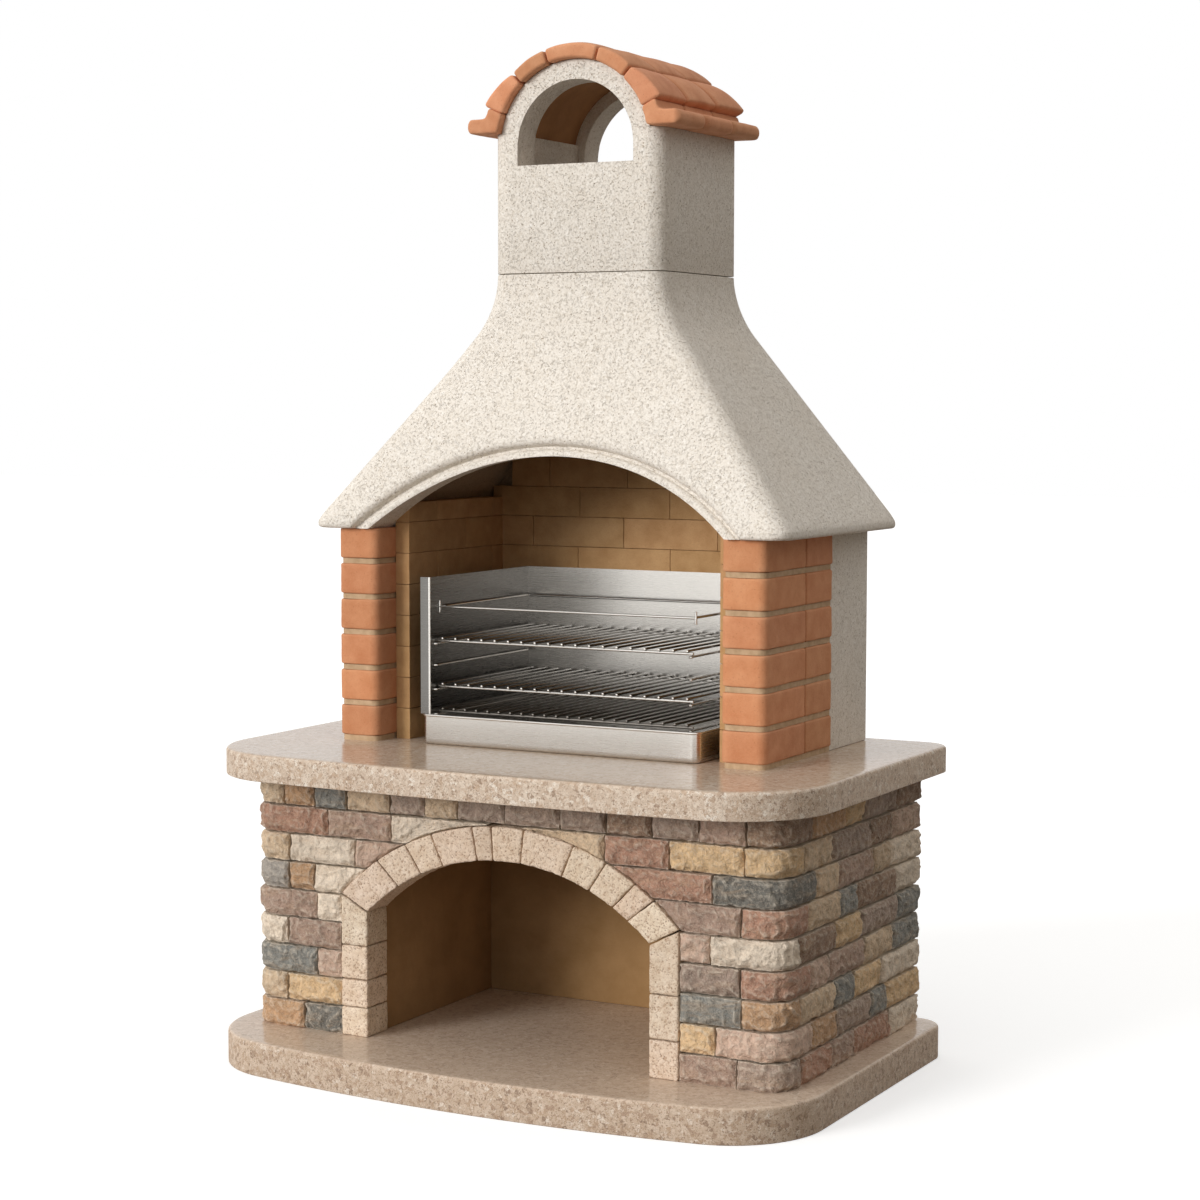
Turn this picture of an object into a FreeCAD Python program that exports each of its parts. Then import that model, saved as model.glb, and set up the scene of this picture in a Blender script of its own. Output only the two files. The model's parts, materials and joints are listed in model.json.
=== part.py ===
import FreeCAD, Part
import Sketcher
import math
import os
import re

# A free-standing masonry barbecue: a stone-clad base with an arched wood niche, a polished worktop,
# brick pillars, a lined fire chamber, a flared cast hood, a chimney with a barrel-tiled roof, and a
# stainless fire insert whose grates slide out.
# The frame has +Z up and the front towards -Y, with the origin under the middle on the ground.
# All sizes are in millimetres.

SIZES = {
    # Slabs: reaches are measured from the origin to the crown of the bowed front and to the rear edge
    "base_width": 1340.0,
    "base_thickness": 70.0,
    "base_front": 454.0,
    "base_rear": 440.0,
    "base_bow_radius": 3200.0,
    "worktop_width": 1354.0,
    "worktop_thickness": 55.0,
    "worktop_front": 420.0,
    "worktop_rear": 448.0,
    "worktop_bow_radius": 7500.0,
    "slab_front_corner": 200.0,
    "slab_rear_corner": 60.0,
    "slab_arris": 7.0,
    # Stone-clad base
    "body_width": 1232.0,
    "body_front": 272.0,
    "body_rear": 418.0,
    "body_height": 536.0,
    "stone_depth": 35.0,
    "stone_joint": 4.0,
    "stone_arris": 6.0,
    "stone_tip": 16.0,
    "body_corner": 60.0,
    "top_course_height": 66.0,
    # Wood niche and its arch
    "niche_width": 650.0,
    "niche_side_relief": 5.0,
    "niche_depth": 505.0,
    "niche_panel": 60.0,
    "jamb_width": 64.0,
    "jamb_depth": 78.0,
    "arch_spring": 262.0,
    "arch_rise": 133.0,
    "arch_ring": 69.0,
    "arch_joint": 2.0,
    "lintel_depth": 80.0,
    "lintel_lap": 34.0,
    # Brick pillars
    "pillar_gap": 796.0,
    "pillar_width": 100.0,
    "pillar_front": 116.5,
    "pillar_depth": 327.5,
    "front_brick_depth": 194.0,
    "brick_side_joint": 3.0,
    "brick_height": 64.0,
    "mortar_bed": 11.0,
    "mortar_recess": 5.0,
    "brick_corner": 20.0,
    "brick_arris": 4.0,
    # Fire chamber
    "chamber_wall_inset": 5.0,
    "chamber_rear": 410.0,
    "rear_wall_thickness": 40.0,
    "side_lining": 33.0,
    "side_lining_front": 42.0,
    "side_lining_rise": 52.0,
    "rear_lining": 22.0,
    "rear_lining_rise": 156.0,
    "firebrick_height": 64.0,
    "firebrick_joint": 2.0,
    # Hood
    "hood_width": 1096.0,
    "hood_front": 139.0,
    "hood_rear": 434.5,
    "hood_height": 531.0,
    "hood_lip": 18.0,
    "hood_hip_bevel": 26.0,
    "hood_rear_bevel": 9.0,
    "hood_side_blend": 210.0,
    "hood_front_blend": 640.0,
    "hood_rear_blend": 230.0,
    "mouth_margin": 136.0,
    "mouth_rise": 155.0,
    "bead_radius": 18.0,
    "bead_setback": 30.0,
    "bead_proud": 10.0,
    "smoke_ledge": 10.0,
    "smoke_throat": 352.0,
    "throat_width": 368.0,
    "throat_front_wall": 65.0,
    "throat_rear_wall": 64.0,
    # Chimney stack
    "neck_width": 398.0,
    "neck_front": 20.0,
    "neck_rear": 371.0,
    "stack_height": 288.0,
    "stack_seam": 2.0,
    "stack_front_round": 40.0,
    "flue_width": 300.0,
    "stack_front_wall": 70.0,
    "stack_rear_wall": 62.0,
    "sill_height": 221.0,
    "outlet_radius": 135.0,
    "outlet_drop": 32.0,
    "gable_ring": 40.5,
    "vault_shell": 15.0,
    # Roof
    "tile_thickness": 36.0,
    "tile_overhang": 20.0,
    "tile_joint": 2.0,
    "tile_round": 9.0,
    "eave_reach": 249.0,
    "eave_height": 31.0,
    "eave_angle": 24.0,
    # Fire insert
    "insert_offset": 18.0,
    "slide_clearance": 0.3,
    "pan_width": 644.0,
    "pan_front": 92.0,
    "pan_depth": 420.0,
    "pan_height": 63.0,
    "pan_sheet": 2.0,
    "pan_corner": 17.0,
    "pan_rim": 3.0,
    "pan_rim_height": 5.0,
    "pan_bottom_bevel": 3.0,
    "shield_height": 350.0,
    "shield_sheet": 2.0,
    "shield_flange": 16.0,
    "right_shield_setback": 155.0,
    "rail_wire": 5.0,
    "rail_stand_off": 10.0,
    "rail_bend": 5.0,
    "rail_end_margin": 14.0,
    "charcoal_level": 61.5,
    "lower_level": 114.0,
    "spare_level": 165.0,
    "upper_level": 210.0,
    "top_level": 287.0,
    "tie_bar_height": 26.0,
    "tie_setback": 35.0,
    # Grates
    "grate_rod": 6.0,
    "grate_bar": 5.0,
    "grate_side_gap": 4.0,
    "grate_front_gap": 22.0,
    "grate_rear_gap": 8.0,
    "bar_tip": 4.0,
    "bar_margin": 12.0,
    # Room past a face for a cut that goes right through it
    "cut_allowance": 20.0,
    # Bedding between round faces that seat on each other
    "bedding": 0.3,
}

# Two places closer than this are taken as the same
TOUCH = 0.01

# Angles in degrees at which a rounded corner of a brick, stone or pan is cut into flats
CORNER_ANGLES = (0, 30, 60, 90)

BRICK_COURSES = 6
GRILL_BARS = 19
CHARCOAL_BARS = 22
TILE_ROWS = ("front", "middle", "rear")
RAIL_LEVELS = ("charcoal_level", "lower_level", "spare_level", "upper_level")
SIDES = (("left", -1), ("right", 1))

# Shares of the stones in each course from the ground up, from the corner to the arch. The first is the
# corner stone's front leg, and the last meets the arch, which trims it.
LEFT_COURSES = (
    (130, 95),
    (87, 138),
    (164, 61),
    (89, 136),
    (163, 62),
    (93, 63, 106),
    (94, 164, 85),
    (192, 154, 140),
    (82, 76, 79, 107, 84, 76, 112),
)
RIGHT_COURSES = (
    (102, 123),
    (149, 76),
    (94, 131),
    (97, 128),
    (160, 65),
    (95, 167),
    (156, 187),
    (89, 159, 141, 97),
    (85, 99, 102, 101, 102, 127),
)
# Shares of the side stones from the front corner to the rear, the first the corner stone's side leg
SIDE_COURSES = (
    (80, 150, 110, 190, 160),
    (130, 120, 170, 90, 180),
    (75, 165, 100, 140, 210),
    (120, 90, 180, 150, 150),
    (70, 170, 130, 190, 130),
    (110, 150, 90, 200, 140),
    (145, 110, 180, 95, 160),
    (85, 140, 190, 120, 155),
    (125, 160, 100, 170, 135),
)
LEFT_JAMB_BLOCKS = (62, 58, 72, 70)
RIGHT_JAMB_BLOCKS = (78, 90, 94)
VOUSSOIRS = (8.1, 5.3, 7.7, 8.3, 12.2, 8.0, 4.8, 10.6, 7.2, 8.2, 12.4)
ROOF_TILES = (24, 24, 36, 24, 24)
REAR_FIREBRICKS = ((115, 230, 230, 230), (230, 230, 230, 115))
SIDE_FIREBRICKS = ((230, 160), (115, 230, 45))

doc = FreeCAD.newDocument("MasonryBarbecue")
sheet = doc.addObject("Spreadsheet::Sheet", "Sizes")
for row, (alias, number) in enumerate(SIZES.items(), start=1):
    sheet.set(f"A{row}", alias)
    sheet.set(f"B{row}", str(number))
    sheet.setAlias(f"B{row}", alias)
doc.recompute()

nodes = []


# Expressions: text in the names of the sheet's cells

def bound(expression):
    """The expression with each size named as the sheet's cell."""
    return re.sub(r"[a-z]\w*", lambda word: f"Sizes.{word[0]}" if word[0] in SIZES else word[0], expression)


def size(expression):
    """The number that an expression comes to."""
    return float(sheet.evalExpression(bound(expression)))


def bind(item, name, expression):
    item.setExpression(name, bound(expression))


def span(sign, inner, outer):
    """Low and high X of what lies between two distances from the middle, on one side."""
    if sign > 0:
        return inner, outer
    return f"-({outer})", f"-({inner})"


# Levels and places that several pieces share
BODY_TOP = "(base_thickness + body_height)"
WORKTOP_TOP = "(base_thickness + body_height + worktop_thickness)"
BRICK_PITCH = "(brick_height + mortar_bed)"
CHAMBER_TOP = f"({WORKTOP_TOP} + {BRICK_COURSES} * {BRICK_PITCH})"
NECK_BASE = f"({CHAMBER_TOP} + hood_height)"
STACK_TOP = f"({NECK_BASE} + stack_height)"
ARCH_RADIUS = "((niche_width^2 / 4 + arch_rise^2) / (2 * arch_rise))"
ARCH_CENTRE = f"(base_thickness + arch_spring + arch_rise - {ARCH_RADIUS})"
EXTRADOS = f"({ARCH_RADIUS} + arch_ring)"
JAMB_OUTER = "(niche_width / 2 + jamb_width)"
NICHE_SIDE = "(niche_width / 2 + niche_side_relief)"
CORE_OUTER = "(body_width / 2 - stone_depth)"
CORE_FRONT = "(-body_front + stone_depth)"
JAMB_BACK = "(-body_front + jamb_depth)"
PILLAR_INNER = "(pillar_gap / 2)"
PILLAR_REAR = "(-pillar_front + pillar_depth)"
REAR_WALL_FRONT = "(chamber_rear - rear_wall_thickness)"
MOUTH_WIDTH = "(hood_width - 2 * mouth_margin)"
SMOKE_FRONT = "(-side_lining_front - bedding)"
SMOKE_STRAIGHT = "(side_lining_rise + smoke_ledge)"
SMOKE_SHOULDER = "(rear_lining_rise + smoke_ledge)"
FLUE_FRONT = "(neck_front + stack_front_wall)"
FLUE_REAR = "(neck_rear - stack_rear_wall)"
OUTLET_CENTRE = f"({STACK_TOP} - outlet_drop)"
GABLE_RADIUS = "(outlet_radius + gable_ring)"
PAN_FLOOR = f"({WORKTOP_TOP} + slide_clearance + pan_sheet)"
SHIELD_INNER = "(pan_width / 2 - pan_sheet - shield_flange - shield_sheet)"
SHIELD_FRONT = "(-pan_front + pan_sheet + slide_clearance)"
RIGHT_SHIELD_FRONT = f"({SHIELD_FRONT} + right_shield_setback)"
SHIELD_REAR = "(-pan_front + pan_depth - pan_sheet - slide_clearance)"
RAIL_LINE = f"({SHIELD_INNER} - rail_stand_off + rail_wire / 2)"


# Building blocks

def keep(item, name):
    """Names a finished piece and puts it on the list of pieces to write."""
    item.Label = name
    nodes.append(item)
    return item


def box(name, low, high):
    block = doc.addObject("Part::Box", name)
    for side, axis, start, end in zip(("Length", "Width", "Height"), "xyz", low, high):
        bind(block, side, f"({end}) - ({start})")
        bind(block, f"Placement.Base.{axis}", start)
    return block


def group(name, members):
    bundle = doc.addObject("Part::Compound", name)
    bundle.Links = members
    return keep(bundle, name)


def solids(name, shapes):
    """One piece made of separate solids that are cut to fit their places."""
    item = doc.addObject("Part::Feature", name)
    item.Shape = Part.makeCompound(shapes)
    return keep(item, name)


def body(name):
    return doc.addObject("PartDesign::Body", name)


def sketch(owner, plane, level="0"):
    """An empty sketch on one of the body's own planes, moved along that plane's normal."""
    drawing = owner.newObject("Sketcher::SketchObject", f"{owner.Name}_outline")
    support = next(item for item in owner.Origin.OriginFeatures if item.Role == f"{plane}_Plane")
    drawing.AttachmentSupport = [(support, "")]
    drawing.MapMode = "FlatFace"
    bind(drawing, "AttachmentOffset.Base.z", level)
    return drawing


def arc_middle(start, end, radius):
    """Middle point of the shorter arc; a positive radius bulges to the left of start to end."""
    chord = end - start
    half = chord.Length / 2
    sagitta = abs(radius) - math.sqrt(radius * radius - half * half)
    left = FreeCAD.Vector(-chord.y, chord.x, 0).normalize()
    return (start + end) * 0.5 + left * math.copysign(sagitta, radius)


def draw(drawing, corners, arcs=None):
    """Adds a closed outline whose corners, and radii of its round sides, follow expressions."""
    arcs = arcs or {}
    points = [FreeCAD.Vector(size(x), size(y), 0) for x, y in corners]
    count = len(points)
    ends = []
    for index, point in enumerate(points):
        following = points[(index + 1) % count]
        if index in arcs:
            radius, side = arcs[index]
            middle = arc_middle(point, following, side * size(radius))
            # An arc is drawn anticlockwise, so one that bulges to the left starts at its far end
            if side > 0:
                number = drawing.addGeometry(Part.Arc(following, middle, point), False)
                ends.append((number, 2, 1))
            else:
                number = drawing.addGeometry(Part.Arc(point, middle, following), False)
                ends.append((number, 1, 2))
        else:
            number = drawing.addGeometry(Part.LineSegment(point, following), False)
            ends.append((number, 1, 2))
    for index, (number, start, end) in enumerate(ends):
        following, following_start, _ = ends[(index + 1) % count]
        drawing.addConstraint(Sketcher.Constraint("Coincident", number, end, following, following_start))
    for index, (number, start, end) in enumerate(ends):
        for kind, value, expression in zip(("DistanceX", "DistanceY"), points[index], corners[index]):
            place = drawing.addConstraint(Sketcher.Constraint(kind, -1, 1, number, start, value))
            bind(drawing, f"Constraints[{place}]", expression)
        if index in arcs:
            radius = arcs[index][0]
            place = drawing.addConstraint(Sketcher.Constraint("Radius", number, size(radius)))
            bind(drawing, f"Constraints[{place}]", radius)
    return drawing


def pad(owner, drawing, length, backward=False):
    """Grows the body from a drawing along its normal, or backward against it."""
    feature = owner.newObject("PartDesign::Pad", f"{owner.Name}_pad")
    feature.Profile = drawing
    bind(feature, "Length", length)
    feature.Reversed = backward
    doc.recompute()
    return feature


def pocket(owner, drawing, length):
    """Cuts the body from a drawing against its normal, and makes sure that it took something away."""
    before = owner.Tip.Shape.Volume
    feature = owner.newObject("PartDesign::Pocket", f"{owner.Name}_pocket")
    feature.Profile = drawing
    bind(feature, "Length", length)
    doc.recompute()
    if feature.Shape.Volume >= before:
        raise RuntimeError(f"{feature.Name} cut nothing")
    return feature


def edges_where(shape, test):
    return [f"Edge{number}" for number, edge in enumerate(shape.Edges, start=1) if test(edge)]


def dress(owner, kind, setting, test, amount):
    """Rounds or bevels the edges of the body that pass a test."""
    base = owner.Tip
    feature = owner.newObject(f"PartDesign::{kind}", f"{owner.Name}_{kind.lower()}")
    feature.Base = (base, edges_where(base.Shape, test))
    bind(feature, setting, amount)
    doc.recompute()
    return feature


def round_edges(owner, test, radius):
    return dress(owner, "Fillet", "Radius", test, radius)


def bevel_edges(owner, test, width):
    return dress(owner, "Chamfer", "Size", test, width)


def upright(edge):
    reach = edge.BoundBox
    return reach.XLength < TOUCH and reach.YLength < TOUCH


def level_edge(edge):
    return edge.BoundBox.ZLength < TOUCH


def rectangle(low_x, high_x, low_y, high_y):
    return [(low_x, low_y), (high_x, low_y), (high_x, high_y), (low_x, high_y)]


def turned_front(low_x, high_x, near_y, radius):
    """Corners of a front line whose ends turn back by a quarter round cut into flats."""
    turns = [f"{radius} * (1 - sin({angle}))" for angle in CORNER_ANGLES]
    ends = list(zip(turns, turns[::-1]))
    low_end = [(f"{low_x} + {x}", f"{near_y} + {y}") for x, y in ends[::-1]]
    high_end = [(f"{high_x} - {x}", f"{near_y} + {y}") for x, y in ends]
    return low_end + high_end


def shares(lengths, total):
    """Starts and ends of lengths that are stretched to fill a total."""
    scale = total / sum(lengths)
    start = 0.0
    spans = []
    for length in lengths:
        spans.append((start, start + length * scale))
        start += length * scale
    return spans


# Base slab and worktop: bowed front, rounded corners, eased upper arris

def make_slab(name, width, thickness, front, rear, bow, level):
    owner = body(name)
    half = f"({width} / 2)"
    side_front = f"({bow} - {front} - sqrt({bow}^2 - {half}^2))"
    corners = [(f"-{half}", rear), (half, rear), (half, side_front), (f"-{half}", side_front)]
    pad(owner, draw(sketch(owner, "XY", level), corners, {2: (bow, 1)}), thickness)
    round_edges(owner, lambda edge: upright(edge) and edge.CenterOfMass.y < 0, "slab_front_corner")
    rear_line = size(rear) - TOUCH
    round_edges(owner, lambda edge: upright(edge) and edge.CenterOfMass.y > rear_line, "slab_rear_corner")
    top = size(f"{level} + {thickness}") - TOUCH
    bevel_edges(owner, lambda edge: level_edge(edge) and edge.CenterOfMass.z > top, "slab_arris")
    return keep(owner, name)


def make_slabs():
    make_slab("base_slab", "base_width", "base_thickness", "base_front", "base_rear", "base_bow_radius", "0")
    make_slab("worktop_slab", "worktop_width", "worktop_thickness", "worktop_front", "worktop_rear",
              "worktop_bow_radius", BODY_TOP)


# Core of the base: two piers, the niche's back panel and the arched lintel

def make_base_core():
    for side, sign in SIDES:
        owner = body(f"{side}_base_core")
        outline = [
            (NICHE_SIDE, JAMB_BACK),
            (JAMB_OUTER, JAMB_BACK),
            (JAMB_OUTER, CORE_FRONT),
            (CORE_OUTER, CORE_FRONT),
            (CORE_OUTER, "body_rear"),
            (NICHE_SIDE, "body_rear"),
        ]
        corners = [(f"{sign} * {x}", y) for x, y in outline]
        pad(owner, draw(sketch(owner, "XY", "base_thickness"), corners), "body_height")
        keep(owner, f"{side}_base_core")
    panel_front = "(-body_front + niche_depth)"
    panel = box("niche_back_panel",
                (f"-{NICHE_SIDE}", panel_front, "base_thickness"),
                (NICHE_SIDE, f"{panel_front} + niche_panel", BODY_TOP))
    keep(panel, "niche_back_panel")
    make_lintel()


def make_lintel():
    """Spandrel above the arch stones, and behind it a beam that laps their backs."""
    owner = body("front_lintel")
    for half, radius, front, depth in (
        (JAMB_OUTER, f"({EXTRADOS} + arch_joint)", CORE_FRONT, "jamb_depth - stone_depth"),
        (NICHE_SIDE, f"({ARCH_RADIUS} + lintel_lap)", JAMB_BACK, "lintel_depth"),
    ):
        foot = f"({ARCH_CENTRE} + sqrt({radius}^2 - {half}^2))"
        corners = [(f"-{half}", foot), (f"-{half}", BODY_TOP), (half, BODY_TOP), (half, foot)]
        outline = draw(sketch(owner, "XZ", f"-{front}"), corners, {3: (radius, -1)})
        pad(owner, outline, depth, backward=True)
    keep(owner, "front_lintel")


# Arch over the niche: jamb blocks with a sloping top, and wedge stones

def front_plate(edges, front, depth):
    """A solid from a closed outline in the front view, going back by a depth."""
    face = Part.Face(Part.Wire(edges))
    face.translate(FreeCAD.Vector(0, front, 0))
    return face.extrude(FreeCAD.Vector(0, depth, 0))


def front_point(radius, degrees, centre):
    angle = math.radians(degrees)
    return FreeCAD.Vector(radius * math.cos(angle), 0, centre + radius * math.sin(angle))


def front_arc(radius, start, end, centre):
    """An arc in the front view about a point on the middle line, between two angles in degrees."""
    ends = [front_point(radius, degrees, centre) for degrees in (start, (start + end) / 2, end)]
    return Part.Arc(*ends).toShape()


def line(start, end):
    return Part.LineSegment(start, end).toShape()


def wedge(inner, outer, inner_angles, outer_angles, centre):
    """Outline of a wedge stone or roof tile between two radii."""
    start_in, end_in = inner_angles
    start_out, end_out = outer_angles
    return [
        front_arc(inner, start_in, end_in, centre),
        line(front_point(inner, end_in, centre), front_point(outer, end_out, centre)),
        front_arc(outer, end_out, start_out, centre),
        line(front_point(outer, start_out, centre), front_point(inner, start_in, centre)),
    ]


def make_arch():
    inner, outer, centre = size(ARCH_RADIUS), size(EXTRADOS), size(ARCH_CENTRE)
    front, depth, joint = size("-body_front"), size("jamb_depth"), size("arch_joint")
    half_opening, half_outer = size("niche_width / 2"), size(JAMB_OUTER)
    spring_angle = math.degrees(math.acos(half_opening / inner))
    skew_angle = math.degrees(math.acos(half_outer / outer))
    inner_gap = math.degrees(joint / inner) / 2
    outer_gap = math.degrees(joint / outer) / 2
    inner_spans = shares(VOUSSOIRS, 180 - 2 * spring_angle)
    outer_spans = shares(VOUSSOIRS, 180 - 2 * skew_angle)
    stones = []
    for (low_in, high_in), (low_out, high_out) in zip(inner_spans, outer_spans):
        inner_angles = (spring_angle + low_in + inner_gap, spring_angle + high_in - inner_gap)
        outer_angles = (skew_angle + low_out + outer_gap, skew_angle + high_out - outer_gap)
        stones.append(front_plate(wedge(inner, outer, inner_angles, outer_angles, centre), front, depth))
    solids("arch_voussoirs", stones)

    floor = size("base_thickness")
    spring = size("base_thickness + arch_spring") - joint
    skew = centre + math.sqrt(outer * outer - half_outer * half_outer) - joint
    for (side, sign), heights in zip(SIDES, (LEFT_JAMB_BLOCKS, RIGHT_JAMB_BLOCKS)):
        blocks = []
        for low, high in shares(heights, spring - floor):
            last = abs(high - (spring - floor)) < TOUCH
            bottom = floor + low
            inner_top = floor + high if last else floor + high - joint
            outer_top = skew if last else inner_top
            outline = [
                (half_opening, bottom),
                (half_outer, bottom),
                (half_outer, outer_top),
                (half_opening, inner_top),
            ]
            points = [FreeCAD.Vector(sign * x, 0, z) for x, z in outline]
            edges = [line(start, end) for start, end in zip(points, points[1:] + points[:1])]
            blocks.append(front_plate(edges, front, depth))
        solids(f"{side}_jamb_blocks", blocks)


# Stone cladding: nine courses of split stones, with stones that turn the front corners

def course_levels():
    """Bottom and top of each course of stones."""
    top_course = size("top_course_height")
    count = len(SIDE_COURSES)
    height = (size("body_height") - top_course) / (count - 1)
    bottoms = [size("base_thickness") + number * height for number in range(count)]
    tops = bottoms[1:] + [bottoms[-1] + top_course]
    return list(zip(bottoms, tops))


def split_stone(low, high, outward):
    """A block whose outward face has bevelled edges; outward is the axis and side of that face."""
    axis, sign = outward
    low_corner = FreeCAD.Vector(*low)
    block = Part.makeBox(*(FreeCAD.Vector(*high) - low_corner), low_corner)
    plane = (high if sign > 0 else low)[axis]

    def on_face(edge):
        return all(abs(vertex.Point[axis] - plane) < TOUCH for vertex in edge.Vertexes)

    return block.makeChamfer(size("stone_arris"), [edge for edge in block.Edges if on_face(edge)])


def corner_stone(sign, front_leg, side_leg, bottom, top):
    """An L-shaped stone round a front corner of the base."""
    half, front = size("body_width / 2"), size("-body_front")
    depth, radius = size("stone_depth"), size("body_corner")

    def at(inward, back):
        return FreeCAD.Vector(sign * (half - inward), front + back, bottom)

    turns = [radius * (1 - math.sin(math.radians(angle))) for angle in CORNER_ANGLES]
    skin = [at(front_leg, 0)]
    skin += [at(inward, back) for inward, back in zip(turns, turns[::-1])]
    skin += [at(0, side_leg)]
    points = skin + [at(depth, side_leg), at(depth, depth), at(front_leg, depth)]
    block = Part.Face(Part.makePolygon(points + points[:1])).extrude(FreeCAD.Vector(0, 0, top - bottom))

    def on_skin(edge):
        """True for a level edge along the outer face of the base, round the corner too."""
        ends = [FreeCAD.Vector(vertex.X, vertex.Y, bottom) for vertex in edge.Vertexes]
        return level_edge(edge) and all(any(end.isEqual(point, TOUCH) for point in skin) for end in ends)

    return block.makeChamfer(size("stone_arris"), [edge for edge in block.Edges if on_skin(edge)])


def arch_space():
    """The space that the arch and its jambs take in the stone front, with their joint, and a function
    that gives half its width at a level."""
    joint = size("arch_joint")
    half, radius, centre = size(JAMB_OUTER) + joint, size(EXTRADOS) + joint, size(ARCH_CENTRE)
    floor, front, depth = size("base_thickness"), size("-body_front"), size("stone_depth")
    skew = centre + math.sqrt(radius * radius - half * half)
    doorway = Part.makeBox(2 * half, depth, skew - floor, FreeCAD.Vector(-half, front, floor))
    disc = Part.makeCylinder(radius, depth, FreeCAD.Vector(0, front, centre), FreeCAD.Vector(0, 1, 0))
    head = Part.makeBox(2 * half, depth, radius + centre - skew, FreeCAD.Vector(-half, front, skew))

    def half_width(level):
        if level <= skew:
            return half
        return math.sqrt(max(radius * radius - (level - centre) ** 2, 0.0))

    return doorway.fuse(disc.common(head)), half_width


def make_cladding():
    half, front, rear = size("body_width / 2"), size("-body_front"), size("body_rear")
    depth, joint, tip = size("stone_depth"), size("stone_joint"), size("stone_tip")
    doorway, half_width = arch_space()
    jamb = half_width(size("base_thickness"))
    top_stones = []
    for (side, sign), courses in zip(SIDES, (LEFT_COURSES, RIGHT_COURSES)):
        front_stones, side_stones, corner_stones = [], [], []
        side_courses = SIDE_COURSES if sign > 0 else SIDE_COURSES[::-1]
        for front_lengths, side_lengths, (bottom, top) in zip(courses, side_courses, course_levels()):
            top -= joint
            side_legs = shares(side_lengths, rear - front)
            front_legs = shares(front_lengths, half - half_width(top - tip))
            corner_stones.append(corner_stone(sign, front_legs[0][1], side_legs[0][1], bottom, top))
            for low, high in side_legs[1:]:
                inner, outer = sorted((sign * (half - depth), sign * half))
                block_low = (inner, front + low + joint, bottom)
                block_high = (outer, front + high, top)
                side_stones.append(split_stone(block_low, block_high, (0, sign)))
            for low, high in front_legs[1:]:
                inner, outer = sorted((sign * (half - low - joint), sign * (half - high)))
                stone = split_stone((inner, front, bottom), (outer, front + depth, top), (1, -1))
                if half_width(bottom) > half - high + joint:
                    stone = max(stone.cut(doorway).Solids, key=lambda solid: solid.Volume)
                over_arch = half_width(bottom) < jamb and half - high < jamb
                (top_stones if over_arch else front_stones).append(stone)
        solids(f"{side}_front_stones", front_stones)
        solids(f"{side}_corner_stones", corner_stones)
        solids(f"{side}_side_stones", side_stones)
    solids("spandrel_stones", top_stones)


# Brick pillars: each course has a front brick with rounded corners and a rear brick, on a mortar bed

def make_brick(name, across, front, rear, bottom, corner=None):
    low, high = across
    owner = body(name)
    outline = rectangle(low, high, front, rear)
    if corner:
        outline = turned_front(low, high, front, corner) + [(high, rear), (low, rear)]
    pad(owner, draw(sketch(owner, "XY", bottom), outline), "brick_height")
    bevel_edges(owner, level_edge, "brick_arris")
    return owner


def make_pillars():
    front = "(-pillar_front)"
    split = "(-pillar_front + front_brick_depth)"
    rear_start = f"({split} + brick_side_joint)"
    outer = f"({PILLAR_INNER} + pillar_width)"
    for side, sign in SIDES:
        across = span(sign, PILLAR_INNER, outer)
        inset = span(sign, f"{PILLAR_INNER} + mortar_recess", f"{outer} - mortar_recess")
        mortar = []
        for course in range(BRICK_COURSES):
            bed = f"({WORKTOP_TOP} + {course} * {BRICK_PITCH})"
            bottom = f"({bed} + mortar_bed)"
            top = f"({bottom} + brick_height)"
            name = f"{side}_pillar_course_{course + 1}"
            front_brick = make_brick(f"{name}_front", across, front, split, bottom, "brick_corner")
            rear_brick = make_brick(f"{name}_rear", across, rear_start, PILLAR_REAR, bottom)
            group(name, [front_brick, rear_brick])
            mortar.append(box(f"{name}_bed", (inset[0], f"{front} + mortar_recess", bed),
                              (inset[1], PILLAR_REAR, bottom)))
            mortar.append(box(f"{name}_joint", (inset[0], split, bottom),
                              (inset[1], rear_start, top)))
        group(f"{side}_pillar_mortar", mortar)


# Fire chamber: cast walls and a firebrick lining in running bond

def make_chamber():
    outer = f"({PILLAR_INNER} + pillar_width - chamber_wall_inset)"
    for side, sign in SIDES:
        low, high = span(sign, PILLAR_INNER, outer)
        wall = box(f"{side}_chamber_wall", (low, PILLAR_REAR, WORKTOP_TOP), (high, "chamber_rear", CHAMBER_TOP))
        keep(wall, f"{side}_chamber_wall")
    wall = box("rear_chamber_wall", (f"-{PILLAR_INNER}", REAR_WALL_FRONT, WORKTOP_TOP),
               (PILLAR_INNER, "chamber_rear", CHAMBER_TOP))
    keep(wall, "rear_chamber_wall")


def firebrick_courses(rise):
    """Bottom and top of each course of the lining, the last one cut to the height it ends at."""
    bottom, end = size(WORKTOP_TOP), size(f"{CHAMBER_TOP} + {rise}")
    height, joint = size("firebrick_height"), size("firebrick_joint")
    levels = []
    while end - bottom > joint:
        levels.append((bottom, min(bottom + height, end)))
        bottom += height + joint
    return levels


def smoke_half_width(level):
    """Half the smoke chamber's width at a level, from the straight part up to the throat."""
    above = level - size(CHAMBER_TOP)
    straight, throat = size(SMOKE_STRAIGHT), size("smoke_throat")
    taper = min(max((above - straight) / (throat - straight), 0.0), 1.0)
    return size(PILLAR_INNER) + taper * (size("throat_width / 2") - size(PILLAR_INNER))


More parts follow.
